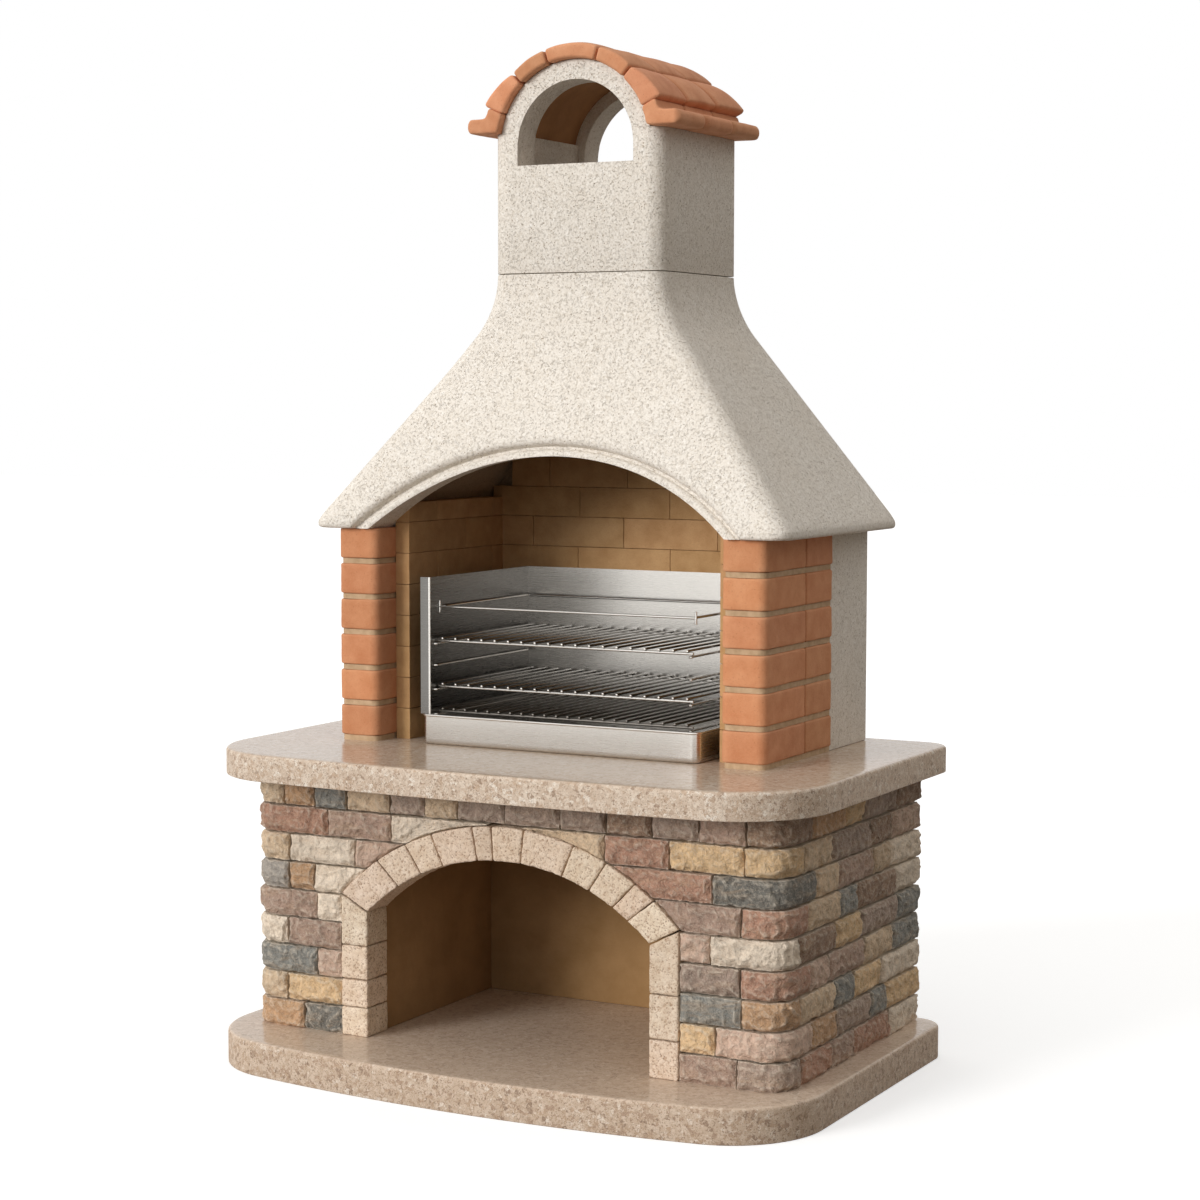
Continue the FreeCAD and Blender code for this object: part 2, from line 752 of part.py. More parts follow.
def make_linings():
    joint = size("firebrick_joint")
    rear, front = size(REAR_WALL_FRONT), size(f"{REAR_WALL_FRONT} - rear_lining")
    bricks = []
    for number, (bottom, top) in enumerate(firebrick_courses("rear_lining_rise")):
        half = smoke_half_width(top)
        for low, high in shares(REAR_FIREBRICKS[number % 2], 2 * half + joint):
            corner = FreeCAD.Vector(low - half, front, bottom)
            bricks.append(Part.makeBox(high - low - joint, rear - front, top - bottom, corner))
    solids("rear_lining", bricks)

    start, depth = size("-side_lining_front"), size("side_lining")
    for side, sign in SIDES:
        inner = size(PILLAR_INNER) - depth if sign > 0 else -size(PILLAR_INNER)
        bricks = []
        for number, (bottom, top) in enumerate(firebrick_courses("side_lining_rise")):
            for low, high in shares(SIDE_FIREBRICKS[number % 2], front - start + joint):
                corner = FreeCAD.Vector(inner, start + low, bottom)
                bricks.append(Part.makeBox(depth, high - low - joint, top - bottom, corner))
        solids(f"{side}_lining", bricks)


# Hood: the front view is grown, the side view is cut away, the hips are bevelled, the lip goes under it,
# and the smoke chamber and the arched mouth are cut out. A bead stands round the mouth.

def flare(reach, blend):
    """Where the straight slope of a flare meets its blend into the neck: distance outside the neck,
    drop below the neck's top, and length of the slope. The slope is a tangent from the lip."""
    across = f"({reach} - {blend})"
    down = "(hood_lip - hood_height)"
    square = f"({across}^2 + {down}^2)"
    slope = f"sqrt({square} - {blend}^2)"
    out = f"({blend} + {blend} * ({blend} * {across} + {slope} * {down}) / {square})"
    drop = f"({blend} * ({slope} * {across} - {blend} * {down}) / {square})"
    return out, drop, slope


def make_hood():
    owner = body("hood")
    lip = f"({CHAMBER_TOP} + hood_lip)"
    half, neck = "(hood_width / 2)", "(neck_width / 2)"
    out, drop, _ = flare("((hood_width - neck_width) / 2)", "hood_side_blend")
    shoulder = f"({neck} + {out})"
    shoulder_level = f"({NECK_BASE} - {drop})"
    corners = [
        (f"-{half}", lip),
        (half, lip),
        (shoulder, shoulder_level),
        (neck, NECK_BASE),
        (f"-{neck}", NECK_BASE),
        (f"-{shoulder}", shoulder_level),
    ]
    blends = {2: ("hood_side_blend", 1), 4: ("hood_side_blend", 1)}
    pad(owner, draw(sketch(owner, "XZ", "-hood_rear"), corners, blends), "hood_front + hood_rear")
    cut_flare(owner, "(-hood_front)", "neck_front", 1, "hood_front_blend", lip)
    cut_flare(owner, "hood_rear", "neck_rear", -1, "hood_rear_blend", lip)
    middle = size("(neck_front + neck_rear) / 2")
    bevel_edges(owner, lambda edge: is_hip(edge) and edge.CenterOfMass.y < middle, "hood_hip_bevel")
    bevel_edges(owner, lambda edge: is_hip(edge) and edge.CenterOfMass.y > middle, "hood_rear_bevel")
    add_lip(owner)
    cut_mouth(owner)
    cut_smoke_chamber(owner)
    add_bead(owner)
    keep(owner, "hood")


def is_hip(edge):
    """True for an edge that climbs from the lip to the neck at a corner of the hood."""
    reach = edge.BoundBox
    return min(reach.XLength, reach.YLength, reach.ZLength) > TOUCH


def cut_flare(owner, edge, neck, inward, blend, lip):
    """Takes away what lies outside the front or rear slope in the side view."""
    reach = f"(({neck} - {edge}) * {inward})"
    out, drop, _ = flare(reach, blend)
    outside = f"({edge} - {inward} * cut_allowance)"
    above = f"({NECK_BASE} + cut_allowance)"
    corners = [
        (edge, lip),
        (f"({neck} - {inward} * {out})", f"({NECK_BASE} - {drop})"),
        (neck, NECK_BASE),
        (neck, above),
        (outside, above),
        (outside, lip),
    ]
    drawing = sketch(owner, "YZ", "hood_width / 2 + cut_allowance")
    pocket(owner, draw(drawing, corners, {1: (blend, -inward)}), "hood_width + 2 * cut_allowance")


def add_lip(owner):
    """The upright band under the flare, with its corners bevelled like the hips above them."""
    half = "(hood_width / 2)"
    right = [
        (f"({half} - hood_hip_bevel)", "-hood_front"),
        (half, "-hood_front + hood_hip_bevel"),
        (half, "hood_rear - hood_rear_bevel"),
        (f"({half} - hood_rear_bevel)", "hood_rear"),
    ]
    left = [(f"-{x}", y) for x, y in right[::-1]]
    pad(owner, draw(sketch(owner, "XY", CHAMBER_TOP), right + left), "hood_lip")


def cut_mouth(owner):
    radius = f"(({MOUTH_WIDTH}^2 / 4 + mouth_rise^2) / (2 * mouth_rise))"
    corners = [(f"-{MOUTH_WIDTH} / 2", CHAMBER_TOP), (f"{MOUTH_WIDTH} / 2", CHAMBER_TOP)]
    drawing = sketch(owner, "XZ", "hood_front + cut_allowance")
    pocket(owner, draw(drawing, corners, {1: (radius, -1)}), f"hood_front + {SMOKE_FRONT} + cut_allowance")


def cut_smoke_chamber(owner):
    half = PILLAR_INNER
    taper = f"(({SMOKE_SHOULDER} - {SMOKE_STRAIGHT}) / (smoke_throat - {SMOKE_STRAIGHT}))"
    shoulder = f"({half} + {taper} * (throat_width / 2 - {half}))"
    throat_front, throat_rear = "neck_front + throat_front_wall", "neck_rear - throat_rear_wall"
    sections = (
        ("0", half, SMOKE_FRONT, REAR_WALL_FRONT),
        (SMOKE_STRAIGHT, half, SMOKE_FRONT, REAR_WALL_FRONT),
        (SMOKE_SHOULDER, shoulder, SMOKE_FRONT, REAR_WALL_FRONT),
        ("smoke_throat", "(throat_width / 2)", throat_front, throat_rear),
        ("hood_height", "(flue_width / 2)", FLUE_FRONT, FLUE_REAR),
    )
    for lower, upper in zip(sections, sections[1:]):
        cut_taper(owner, lower, upper)


def cut_taper(owner, lower, upper):
    """Cuts a space with straight sides between two rectangles, each given by its rise above the hood's
    foot, half its width, and its front and rear."""
    before = owner.Tip.Shape.Volume
    feature = owner.newObject("PartDesign::SubtractiveWedge", f"{owner.Name}_taper")
    # A wedge narrows along its own Y, so it is turned to stand up, which makes its Z point to the front
    turn = FreeCAD.Rotation(FreeCAD.Vector(1, 0, 0), 90)
    feature.Placement = FreeCAD.Placement(FreeCAD.Vector(), turn)
    bind(feature, "Placement.Base.z", f"{CHAMBER_TOP} + {lower[0]}")
    bind(feature, "Ymin", "0")
    bind(feature, "Ymax", f"{upper[0]} - {lower[0]}")
    for mark, (_, reach, near, far) in (("", lower), ("2", upper)):
        bind(feature, f"X{mark}min", f"-{reach}")
        bind(feature, f"X{mark}max", reach)
        bind(feature, f"Z{mark}min", f"-({far})")
        bind(feature, f"Z{mark}max", f"-({near})")
    doc.recompute()
    if feature.Shape.Volume >= before:
        raise RuntimeError(f"{feature.Name} cut nothing")


def add_bead(owner):
    """An eight-sided bead on the sloping front, turned about the mouth's centre on that slope."""
    out, drop, slope = flare("(hood_front + neck_front)", "hood_front_blend")
    lean_up = f"((hood_height - {drop} - hood_lip) / {slope})"
    lean_back = f"((hood_front + neck_front - {out}) / {slope})"
    rise = f"(mouth_rise / {lean_up})"
    radius = f"(({MOUTH_WIDTH}^2 / 4 + {rise}^2) / (2 * {rise}))"
    crown = f"((mouth_rise - hood_lip) / {lean_up})"

    def on_slope(along, outward):
        back = f"(-hood_front + ({along}) * {lean_back} - ({outward}) * {lean_up})"
        up = f"({CHAMBER_TOP} + hood_lip + ({along}) * {lean_up} + ({outward}) * {lean_back})"
        return back, up

    near, far = "(bead_radius * (sqrt(2) - 1))", "bead_radius"
    turns = [(near, far), (far, near), (far, f"-{near}"), (near, f"-{far}")]
    turns += [(f"-{along}", outward) for along, outward in turns[::-1]]
    section = []
    for along, outward in turns:
        section.append(on_slope(f"{crown} + bead_setback + {along}", f"bead_proud - bead_radius + {outward}"))
    drawing = draw(sketch(owner, "YZ"), section)
    ends = [on_slope(f"{crown} - {radius}", outward) for outward in ("0", "bead_radius")]
    points = [FreeCAD.Vector(size(x), size(y), 0) for x, y in ends]
    axis = drawing.addGeometry(Part.LineSegment(*points), True)
    place_point(drawing, axis, 1, ends[0])
    place_point(drawing, axis, 2, ends[1])
    feature = owner.newObject("PartDesign::Revolution", "mouth_bead")
    feature.Profile = drawing
    feature.ReferenceAxis = (drawing, ["Axis0"])
    feature.Midplane = True
    bind(feature, "Angle", f"2 * acos(({radius} - {rise} - bead_radius) / ({radius} + bead_setback))")
    doc.recompute()
    drawing = sketch(owner, "XY", CHAMBER_TOP)
    below = rectangle("-hood_width / 2", "hood_width / 2", "-hood_front - 2 * bead_radius", "0")
    pocket(owner, draw(drawing, below), "4 * bead_radius")


def place_point(drawing, number, point, expressions):
    """Ties a point of a drawing's geometry to two expressions."""
    for kind, expression in zip(("DistanceX", "DistanceY"), expressions):
        place = drawing.addConstraint(Sketcher.Constraint(kind, -1, 1, number, point, size(expression)))
        bind(drawing, f"Constraints[{place}]", expression)


# Chimney: the stack with its flue and outlets, two half rings that close the outlets, and the vault

def make_stack():
    owner = body("chimney_stack")
    half = "(neck_width / 2)"
    outline = rectangle(f"-{half}", half, "neck_front", "neck_rear")
    pad(owner, draw(sketch(owner, "XY", NECK_BASE), outline), "stack_height")
    middle = size("(neck_front + neck_rear) / 2")
    round_edges(owner, lambda edge: upright(edge) and edge.CenterOfMass.y < middle, "stack_front_round")
    rear_line = size("neck_rear") - TOUCH
    bevel_edges(owner, lambda edge: upright(edge) and edge.CenterOfMass.y > rear_line, "hood_rear_bevel")
    foot = size(NECK_BASE) + TOUCH
    bevel_edges(owner, lambda edge: level_edge(edge) and edge.CenterOfMass.z < foot, "stack_seam")
    flue = rectangle("-flue_width / 2", "flue_width / 2", FLUE_FRONT, FLUE_REAR)
    pocket(owner, draw(sketch(owner, "XY", STACK_TOP), flue), "stack_height")
    sill = f"({NECK_BASE} + sill_height)"
    head = "sqrt(outlet_radius^2 - outlet_drop^2)"
    corners = [
        ("-outlet_radius", sill),
        ("outlet_radius", sill),
        ("outlet_radius", OUTLET_CENTRE),
        (head, STACK_TOP),
        (f"-{head}", STACK_TOP),
        ("-outlet_radius", OUTLET_CENTRE),
    ]
    arcs = {2: ("outlet_radius", -1), 4: ("outlet_radius", -1)}
    outlet = draw(sketch(owner, "XZ", "cut_allowance - neck_front"), corners, arcs)
    pocket(owner, outlet, "neck_rear - neck_front + 2 * cut_allowance")
    keep(owner, "chimney_stack")


def make_half_ring(name, inner, outer, front, rear):
    """An arch that stands on the stack's top, about the outlet's centre."""
    owner = body(name)
    inner_foot = f"sqrt({inner}^2 - outlet_drop^2)"
    outer_foot = f"sqrt({outer}^2 - outlet_drop^2)"
    corners = [
        (outer_foot, STACK_TOP),
        (f"-{outer_foot}", STACK_TOP),
        (f"-{inner_foot}", STACK_TOP),
        (inner_foot, STACK_TOP),
    ]
    outline = draw(sketch(owner, "XZ", f"-({front})"), corners, {0: (outer, -1), 2: (inner, 1)})
    pad(owner, outline, f"{rear} - ({front})", backward=True)
    keep(owner, name)


def make_chimney():
    make_stack()
    make_half_ring("chimney_front_arch", "outlet_radius", GABLE_RADIUS, "neck_front", FLUE_FRONT)
    make_half_ring("chimney_rear_arch", "outlet_radius", GABLE_RADIUS, FLUE_REAR, "neck_rear")
    make_half_ring("roof_vault", f"({GABLE_RADIUS} - vault_shell)", GABLE_RADIUS, FLUE_FRONT, FLUE_REAR)


# Roof: rows of curved tiles, and eave tiles that step out under them on both sides

def bevel_outer(tile, test):
    return tile.makeChamfer(size("tile_round"), [edge for edge in tile.Edges if test(edge)])


def make_roof():
    centre, joint = size(OUTLET_CENTRE), size("tile_joint")
    inner = size(f"{GABLE_RADIUS} + bedding")
    outer = inner + size("tile_thickness")
    eave_angle = size("eave_angle")
    gap = math.degrees(joint / outer) / 2
    front, rear = size("neck_front - tile_overhang"), size("neck_rear + tile_overhang")
    row_depth = (rear - front - joint * (len(TILE_ROWS) - 1)) / len(TILE_ROWS)
    eaves = {side: [] for side, _ in SIDES}

    def on_crown(edge):
        """True for a straight edge on the tile's outer face."""
        distances = [math.hypot(v.X, v.Z - centre) for v in edge.Vertexes]
        return level_edge(edge) and all(abs(distance - outer) < TOUCH for distance in distances)

    for number, row in enumerate(TILE_ROWS):
        start = front + number * (row_depth + joint)
        tiles = []
        for low, high in shares(ROOF_TILES, 180 - 2 * eave_angle):
            angles = (eave_angle + low + gap, eave_angle + high - gap)
            tile = front_plate(wedge(inner, outer, angles, angles, centre), start, row_depth)
            tiles.append(bevel_outer(tile, on_crown))
        solids(f"{row}_roof_tiles", tiles)
        for side, sign in SIDES:
            eaves[side].append(eave_tile(sign, inner, outer, eave_angle - gap, start, row_depth))
    for side, _ in SIDES:
        solids(f"{side}_eave_tiles", eaves[side])


def eave_tile(sign, inner, outer, end_angle, start, depth):
    """An L-shaped tile: its upright part follows the arch, its foot lies on the stack and steps out."""
    centre, foot = size(OUTLET_CENTRE), size(STACK_TOP)
    ledge = foot + size("eave_height")
    reach = size("eave_reach")
    start_angle = math.degrees(math.asin((foot - centre) / inner))
    ledge_angle = math.degrees(math.asin((ledge - centre) / outer))
    ledge_start = front_point(outer, ledge_angle, centre)
    tip_top, tip_bottom = FreeCAD.Vector(reach, 0, ledge), FreeCAD.Vector(reach, 0, foot)
    edges = [
        front_arc(inner, start_angle, end_angle, centre),
        line(front_point(inner, end_angle, centre), front_point(outer, end_angle, centre)),
        front_arc(outer, end_angle, ledge_angle, centre),
        line(ledge_start, tip_top),
        line(tip_top, tip_bottom),
        line(tip_bottom, front_point(inner, start_angle, centre)),
    ]
    tile = front_plate(edges, start, depth)

    def on_tip(edge):
        return all(abs(v.X - reach) < TOUCH for v in edge.Vertexes)

    tile = bevel_outer(tile, on_tip)
    if sign < 0:
        tile = tile.mirror(FreeCAD.Vector(0, 0, 0), FreeCAD.Vector(1, 0, 0))
    return tile


# Fire insert: a pressed ash pan with a rim, and shield panels that stand in it, the right one shorter

def insert_x(distance):
    """An expression for X measured from the insert's own middle."""
    return f"(insert_offset + {distance})"


def make_pan():
    owner = body("ash_pan")
    bottom = f"({WORKTOP_TOP} + slide_clearance)"
    top = f"({bottom} + pan_height)"

    def outline(level, grow):
        """The pan's outline from above, grown on every side."""
        reach = f"(pan_width / 2 + {grow})"
        front, rear = f"(-pan_front - {grow})", f"(-pan_front + pan_depth + {grow})"
        low, high = insert_x(f"-{reach}"), insert_x(reach)
        corners = turned_front(low, high, front, f"(pan_corner + {grow})") + [(high, rear), (low, rear)]
        return draw(sketch(owner, "XY", level), corners)

    pad(owner, outline(bottom, "0"), "pan_height")
    low = size(bottom) + TOUCH
    bevel_edges(owner, lambda edge: level_edge(edge) and edge.CenterOfMass.z < low, "pan_bottom_bevel")
    pad(owner, outline(f"{top} - pan_rim_height", "pan_rim"), "pan_rim_height")
    pocket(owner, outline(top, "(-pan_sheet)"), "pan_height - pan_sheet")
    keep(owner, "ash_pan")


def make_shield():
    top = f"({WORKTOP_TOP} + shield_height)"
    rim_top = f"({WORKTOP_TOP} + slide_clearance + pan_height)"
    outer = f"({SHIELD_INNER} + shield_sheet)"
    for (side, sign), front in zip(SIDES, (SHIELD_FRONT, RIGHT_SHIELD_FRONT)):
        owner = body(f"{side}_shield")
        low, high = span(sign, SHIELD_INNER, outer)
        panel = rectangle(insert_x(low), insert_x(high), front, f"{SHIELD_REAR} - shield_sheet")
        pad(owner, draw(sketch(owner, "XY", PAN_FLOOR), panel), f"{top} - {PAN_FLOOR}")
        low, high = span(sign, outer, "(pan_width / 2 + pan_rim)")
        flange = rectangle(insert_x(low), insert_x(high), front, f"{front} + shield_sheet")
        pad(owner, draw(sketch(owner, "XY", rim_top), flange), f"{top} - {rim_top}")
        keep(owner, f"{side}_shield")
    panel = box("rear_shield", (insert_x(f"-{outer}"), f"{SHIELD_REAR} - shield_sheet", PAN_FLOOR),
                (insert_x(outer), SHIELD_REAR, top))
    keep(panel, "rear_shield")


# Rails: bent wire whose ends turn out to the panels, with stubs where the right panel starts, one U-shaped
# top rail and a tie rod with T ends

def bent_wire(points):
    """An eight-sided wire along straight runs, with a short slanting run at each turn."""
    bend, far = size("rail_bend"), size("rail_wire / 2")
    near = far * (math.sqrt(2) - 1)
    corners = [points[0]]
    for before, corner, after in zip(points, points[1:], points[2:]):
        corners.append(corner + (before - corner).normalize() * bend)
        corners.append(corner + (after - corner).normalize() * bend)
    corners.append(points[-1])
    side = (points[1] - points[0]).normalize()
    up = FreeCAD.Vector(0, 0, 1) if abs(side.z) < TOUCH else FreeCAD.Vector(0, 1, 0)
    across = side.cross(up)
    turns = [(near, far), (far, near), (far, -near), (near, -far)]
    turns += [(-x, -y) for x, y in turns]
    ring = [points[0] + across * x + up * y for x, y in turns]
    section = Part.makePolygon(ring + ring[:1])
    mitred = 1
    return Part.makePolygon(corners).makePipeShell([section], True, False, mitred)


def make_rails():
    middle, panel, rail = size("insert_offset"), size(SHIELD_INNER), size(RAIL_LINE)
    front = size(f"{SHIELD_FRONT} + rail_end_margin")
    rear = size(f"{SHIELD_REAR} - shield_sheet - rail_end_margin")
    stub_place = size(f"{RIGHT_SHIELD_FRONT} + rail_end_margin")

    def wire(plan, level):
        return bent_wire([FreeCAD.Vector(middle + x, y, level) for x, y in plan])

    right_plan = [(panel, front), (rail, front), (rail, rear), (panel, rear)]
    left_plan = [(-x, y) for x, y in right_plan]
    stub_plan = [(rail, stub_place), (panel, stub_place)]
    left_wires, right_wires = [], []
    for name in RAIL_LEVELS:
        level = size(f"{WORKTOP_TOP} + {name}")
        left_wires.append(wire(left_plan, level))
        right_wires += wire(right_plan, level).fuse(wire(stub_plan, level)).Solids
    solids("left_rails", left_wires)
    solids("right_rails", right_wires)
    top = size(f"{WORKTOP_TOP} + top_level")
    tie = size(f"{SHIELD_FRONT} + tie_setback")
    behind_tie = tie + size("rail_end_margin")
    tie_back = tie + size("rail_wire / 2")
    plan = [(-panel, behind_tie), (-rail, behind_tie), (-rail, rear), (rail, rear), (rail, tie_back)]
    solids("top_rail", wire(plan, top).fuse(wire(stub_plan, top)).Solids)
    radius, half_bar = size("rail_wire / 2"), size("tie_bar_height / 2")
    rod = bent_wire([FreeCAD.Vector(middle + x, tie, top) for x in (-panel, panel)])
    for sign in (-1, 1):
        bar_x = middle + sign * (panel - radius)
        rod = rod.fuse(bent_wire([FreeCAD.Vector(bar_x, tie, top + rise) for rise in (-half_bar, half_bar)]))
    solids("tie_rod", rod.Solids)


# Grates: bars welded across a front and a rear rod, all of six-sided wire

def hexagon(x, y, across):
    """Corners of a six-sided section, flat side down, from its middle and the width across its flats."""
    flat = f"({across} / 2)"
    tip, shoulder = f"({across} / sqrt(3))", f"({across} / sqrt(12))"
    turns = [(shoulder, f"-{flat}"), (tip, "0"), (shoulder, flat)]
    turns += [(f"-{shoulder}", flat), (f"-{tip}", "0"), (f"-{shoulder}", f"-{flat}")]
    return [(f"{x} + {dx}", f"{y} + {dy}") for dx, dy in turns]


def make_grate(name, level, bars):
    owner = body(name)
    half = f"({SHIELD_INNER} - grate_side_gap)"
    front = f"({SHIELD_FRONT} + grate_front_gap + bar_tip + grate_rod / 2)"
    rear = f"({SHIELD_REAR} - shield_sheet - grate_rear_gap - bar_tip - grate_rod / 2)"
    rod_middle = f"({WORKTOP_TOP} + {level} + rail_wire / 2 + slide_clearance + grate_rod / 2)"
    bar_middle = f"({rod_middle} + grate_rod / 2 + grate_bar / 2)"
    tip = "(grate_rod / 2 + bar_tip)"
    first = f"({half} - bar_margin)"
    section = hexagon(insert_x(f"-{first}"), bar_middle, "grate_bar")
    drawing = draw(sketch(owner, "XZ", f"-({front} - {tip})"), section)
    bar = pad(owner, drawing, f"{rear} - {front} + 2 * {tip}", backward=True)
    for place in (front, rear):
        rod = draw(sketch(owner, "YZ", insert_x(f"-{half}")), hexagon(place, rod_middle, "grate_rod"))
        pad(owner, rod, f"2 * {half}")
    pattern = owner.newObject("PartDesign::LinearPattern", f"{name}_bars")
    pattern.Originals = [bar]
    pattern.Direction = (drawing, ["H_Axis"])
    pattern.Occurrences = bars
    bind(pattern, "Length", f"2 * {first}")
    owner.Tip = pattern
    doc.recompute()
    keep(owner, name)


def make_insert():
    make_pan()
    make_shield()
    make_rails()
    make_grate("charcoal_grate", "charcoal_level", CHARCOAL_BARS)
    make_grate("lower_grate", "lower_level", GRILL_BARS)
    make_grate("upper_grate", "upper_level", GRILL_BARS)


# Build, check and write

def finish():
    """Recomputes, makes sure that every piece is sound, and writes each one to its own file."""
    doc.recompute()
    broken = [item.Name for item in doc.Objects if {"Invalid", "Error"} & set(item.State)]
    broken += [item.Label for item in nodes if item.Shape.isNull() or not item.Shape.isValid()]
    if broken:
        raise RuntimeError("not sound: " + ", ".join(broken))
    os.makedirs("parts", exist_ok=True)
    for item in nodes:
        item.Shape.exportStep(os.path.join("parts", f"{item.Label}.step"))


make_slabs()
make_base_core()
make_arch()
make_cladding()
make_pillars()
make_chamber()
make_linings()
make_hood()
make_chimney()
make_roof()
make_insert()
finish()
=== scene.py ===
import itertools
import json
import math

import bmesh
import bpy
import numpy as np
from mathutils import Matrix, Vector

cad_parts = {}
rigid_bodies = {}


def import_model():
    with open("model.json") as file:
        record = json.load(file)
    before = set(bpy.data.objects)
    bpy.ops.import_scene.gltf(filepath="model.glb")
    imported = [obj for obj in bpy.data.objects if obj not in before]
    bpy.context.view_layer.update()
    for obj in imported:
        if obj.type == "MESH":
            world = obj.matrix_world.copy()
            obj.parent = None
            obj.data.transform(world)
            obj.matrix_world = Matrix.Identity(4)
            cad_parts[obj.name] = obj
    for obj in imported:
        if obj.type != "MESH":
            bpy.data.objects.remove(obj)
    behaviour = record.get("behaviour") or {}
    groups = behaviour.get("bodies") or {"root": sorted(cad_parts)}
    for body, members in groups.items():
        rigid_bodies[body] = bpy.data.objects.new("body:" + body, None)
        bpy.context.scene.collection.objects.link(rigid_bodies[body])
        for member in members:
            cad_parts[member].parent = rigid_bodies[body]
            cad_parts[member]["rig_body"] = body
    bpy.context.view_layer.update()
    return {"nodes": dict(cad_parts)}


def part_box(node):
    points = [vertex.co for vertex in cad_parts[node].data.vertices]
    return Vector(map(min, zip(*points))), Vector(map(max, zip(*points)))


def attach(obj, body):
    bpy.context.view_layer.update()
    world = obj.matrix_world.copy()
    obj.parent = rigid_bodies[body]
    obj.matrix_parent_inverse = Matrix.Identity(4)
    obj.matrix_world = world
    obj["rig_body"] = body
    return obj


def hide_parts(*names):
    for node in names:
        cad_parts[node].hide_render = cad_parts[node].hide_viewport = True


# The looks of a free-standing masonry barbecue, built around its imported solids.
# Everything is in metres, +Z up, with the front towards -Y.

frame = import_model()

MM = 0.001
WELD = 0.01 * MM


# Noise

NEIGHBOURS = itertools.product((-1, 0, 1), repeat=3)
GRADIENTS = np.array([step for step in NEIGHBOURS if sum(map(abs, step)) == 2])
LATTICE = 256
SHUFFLE = np.random.default_rng(11).permutation(LATTICE)
SEED_SHIFT = np.array((17.3, 41.9, 73.7))


def noise(points, wave, seed=0):
    """Smooth noise from about -1 to 1 at each point, with bumps of one wavelength."""
    places = np.asarray(points) / wave + seed * SEED_SHIFT
    cell = np.floor(places).astype(int)
    part = places - cell
    fade = part ** 3 * (part * (part * 6 - 15) + 10)
    total = np.zeros(places.shape[:-1])
    for corner in itertools.product((0, 1), repeat=3):
        x, y, z = np.moveaxis((cell + corner) % LATTICE, -1, 0)
        pick = SHUFFLE[(SHUFFLE[(SHUFFLE[x] + y) % LATTICE] + z) % LATTICE] % len(GRADIENTS)
        weight = np.where(corner, fade, 1 - fade).prod(axis=-1)
        total += weight * (GRADIENTS[pick] * (part - corner)).sum(axis=-1)
    return total


# Meshes as arrays of points and lists of faces

def join(blocks):
    """One set of points and faces from several."""
    points, faces, start = [], [], 0
    for block_points, block_faces in blocks:
        points.append(block_points)
        faces += [[start + index for index in face] for face in block_faces]
        start += len(block_points)
    return np.concatenate(points), faces


def new_mesh(name, points, faces):
    mesh = bpy.data.meshes.new(name)
    mesh.from_pydata([tuple(point) for point in points], [], faces)
    mesh.validate()
    return mesh


def linked(name, data):
    """A new object in the scene."""
    thing = bpy.data.objects.new(name, data)
    bpy.context.scene.collection.objects.link(thing)
    return thing


def new_object(name, points, faces):
    return linked(name, new_mesh(name, points, faces))


def mesh_arrays(mesh):
    points = np.empty(len(mesh.vertices) * 3)
    mesh.vertices.foreach_get("co", points)
    return points.reshape(-1, 3), [list(face.vertices) for face in mesh.polygons]


def discard(thing):
    mesh = thing.data
    bpy.data.objects.remove(thing)
    bpy.data.meshes.remove(mesh)


def modified(block, kind, **settings):
    """Points and faces put through one modifier."""
    thing = new_object("working_shape", *block)
    modifier = thing.modifiers.new(kind.lower(), kind)
    for name, value in settings.items():
        setattr(modifier, name, value)
    arrays = mesh_arrays(thing.evaluated_get(bpy.context.evaluated_depsgraph_get()).data)
    discard(thing)
    return arrays


def carved(block, cutters):
    """Points and faces with the cutters' solids taken away."""
    for cutter in cutters:
        tool = new_object("cutting_shape", *cutter)
        block = modified(block, "BOOLEAN", object=tool, operation="DIFFERENCE", solver="EXACT")
        discard(tool)
    return block


def normals(block):
    mesh = new_mesh("normals", *block)
    directions = np.empty(len(mesh.vertices) * 3)
    mesh.vertex_normals.foreach_get("vector", directions)
    bpy.data.meshes.remove(mesh)
    return directions.reshape(-1, 3)


def pushed(block, amount):
    """Points moved along their normals."""
    points, faces = block
    return points + normals(block) * amount[:, None], faces


def waves(points, layers, seed):
    """Smooth waves at each point from pairs of a height and a wavelength."""
    return sum(height * noise(points, length, seed) for height, length in layers)


def welded(node):
    """A CAD node's mesh for editing, with its triangles joined."""
    build = bmesh.new()
    build.from_mesh(frame["nodes"][node].data)
    bmesh.ops.remove_doubles(build, verts=build.verts, dist=WELD)
    return build


def unloaded(build):
    """The points and faces of a mesh after editing."""
    mesh = bpy.data.meshes.new("edited")
    build.to_mesh(mesh)
    build.free()
    arrays = mesh_arrays(mesh)
    bpy.data.meshes.remove(mesh)
    return arrays


def islands(node):
    """The separate solids of a CAD node as points and faces, from the ground up, then across."""
    points, faces = unloaded(welded(node))
    group, before = np.arange(len(points)), None
    while not np.array_equal(group, before):
        before = group.copy()
        for face in faces:
            group[face] = group[face].min()
    found = []
    for label in np.unique(group):
        members = np.flatnonzero(group == label)
        order = dict(zip(members, range(len(members))))
        own_faces = [[order[i] for i in face] for face in faces if group[face[0]] == label]
        found.append((points[members], own_faces))
    return sorted(found, key=lambda island: tuple(np.round(island[0].mean(axis=0)[[2, 0, 1]], 3)))


def boxes(node):
    """Lowest and highest corner of each separate solid of a CAD node."""
    return [(points.min(axis=0), points.max(axis=0)) for points, _ in islands(node)]


# Basic forms

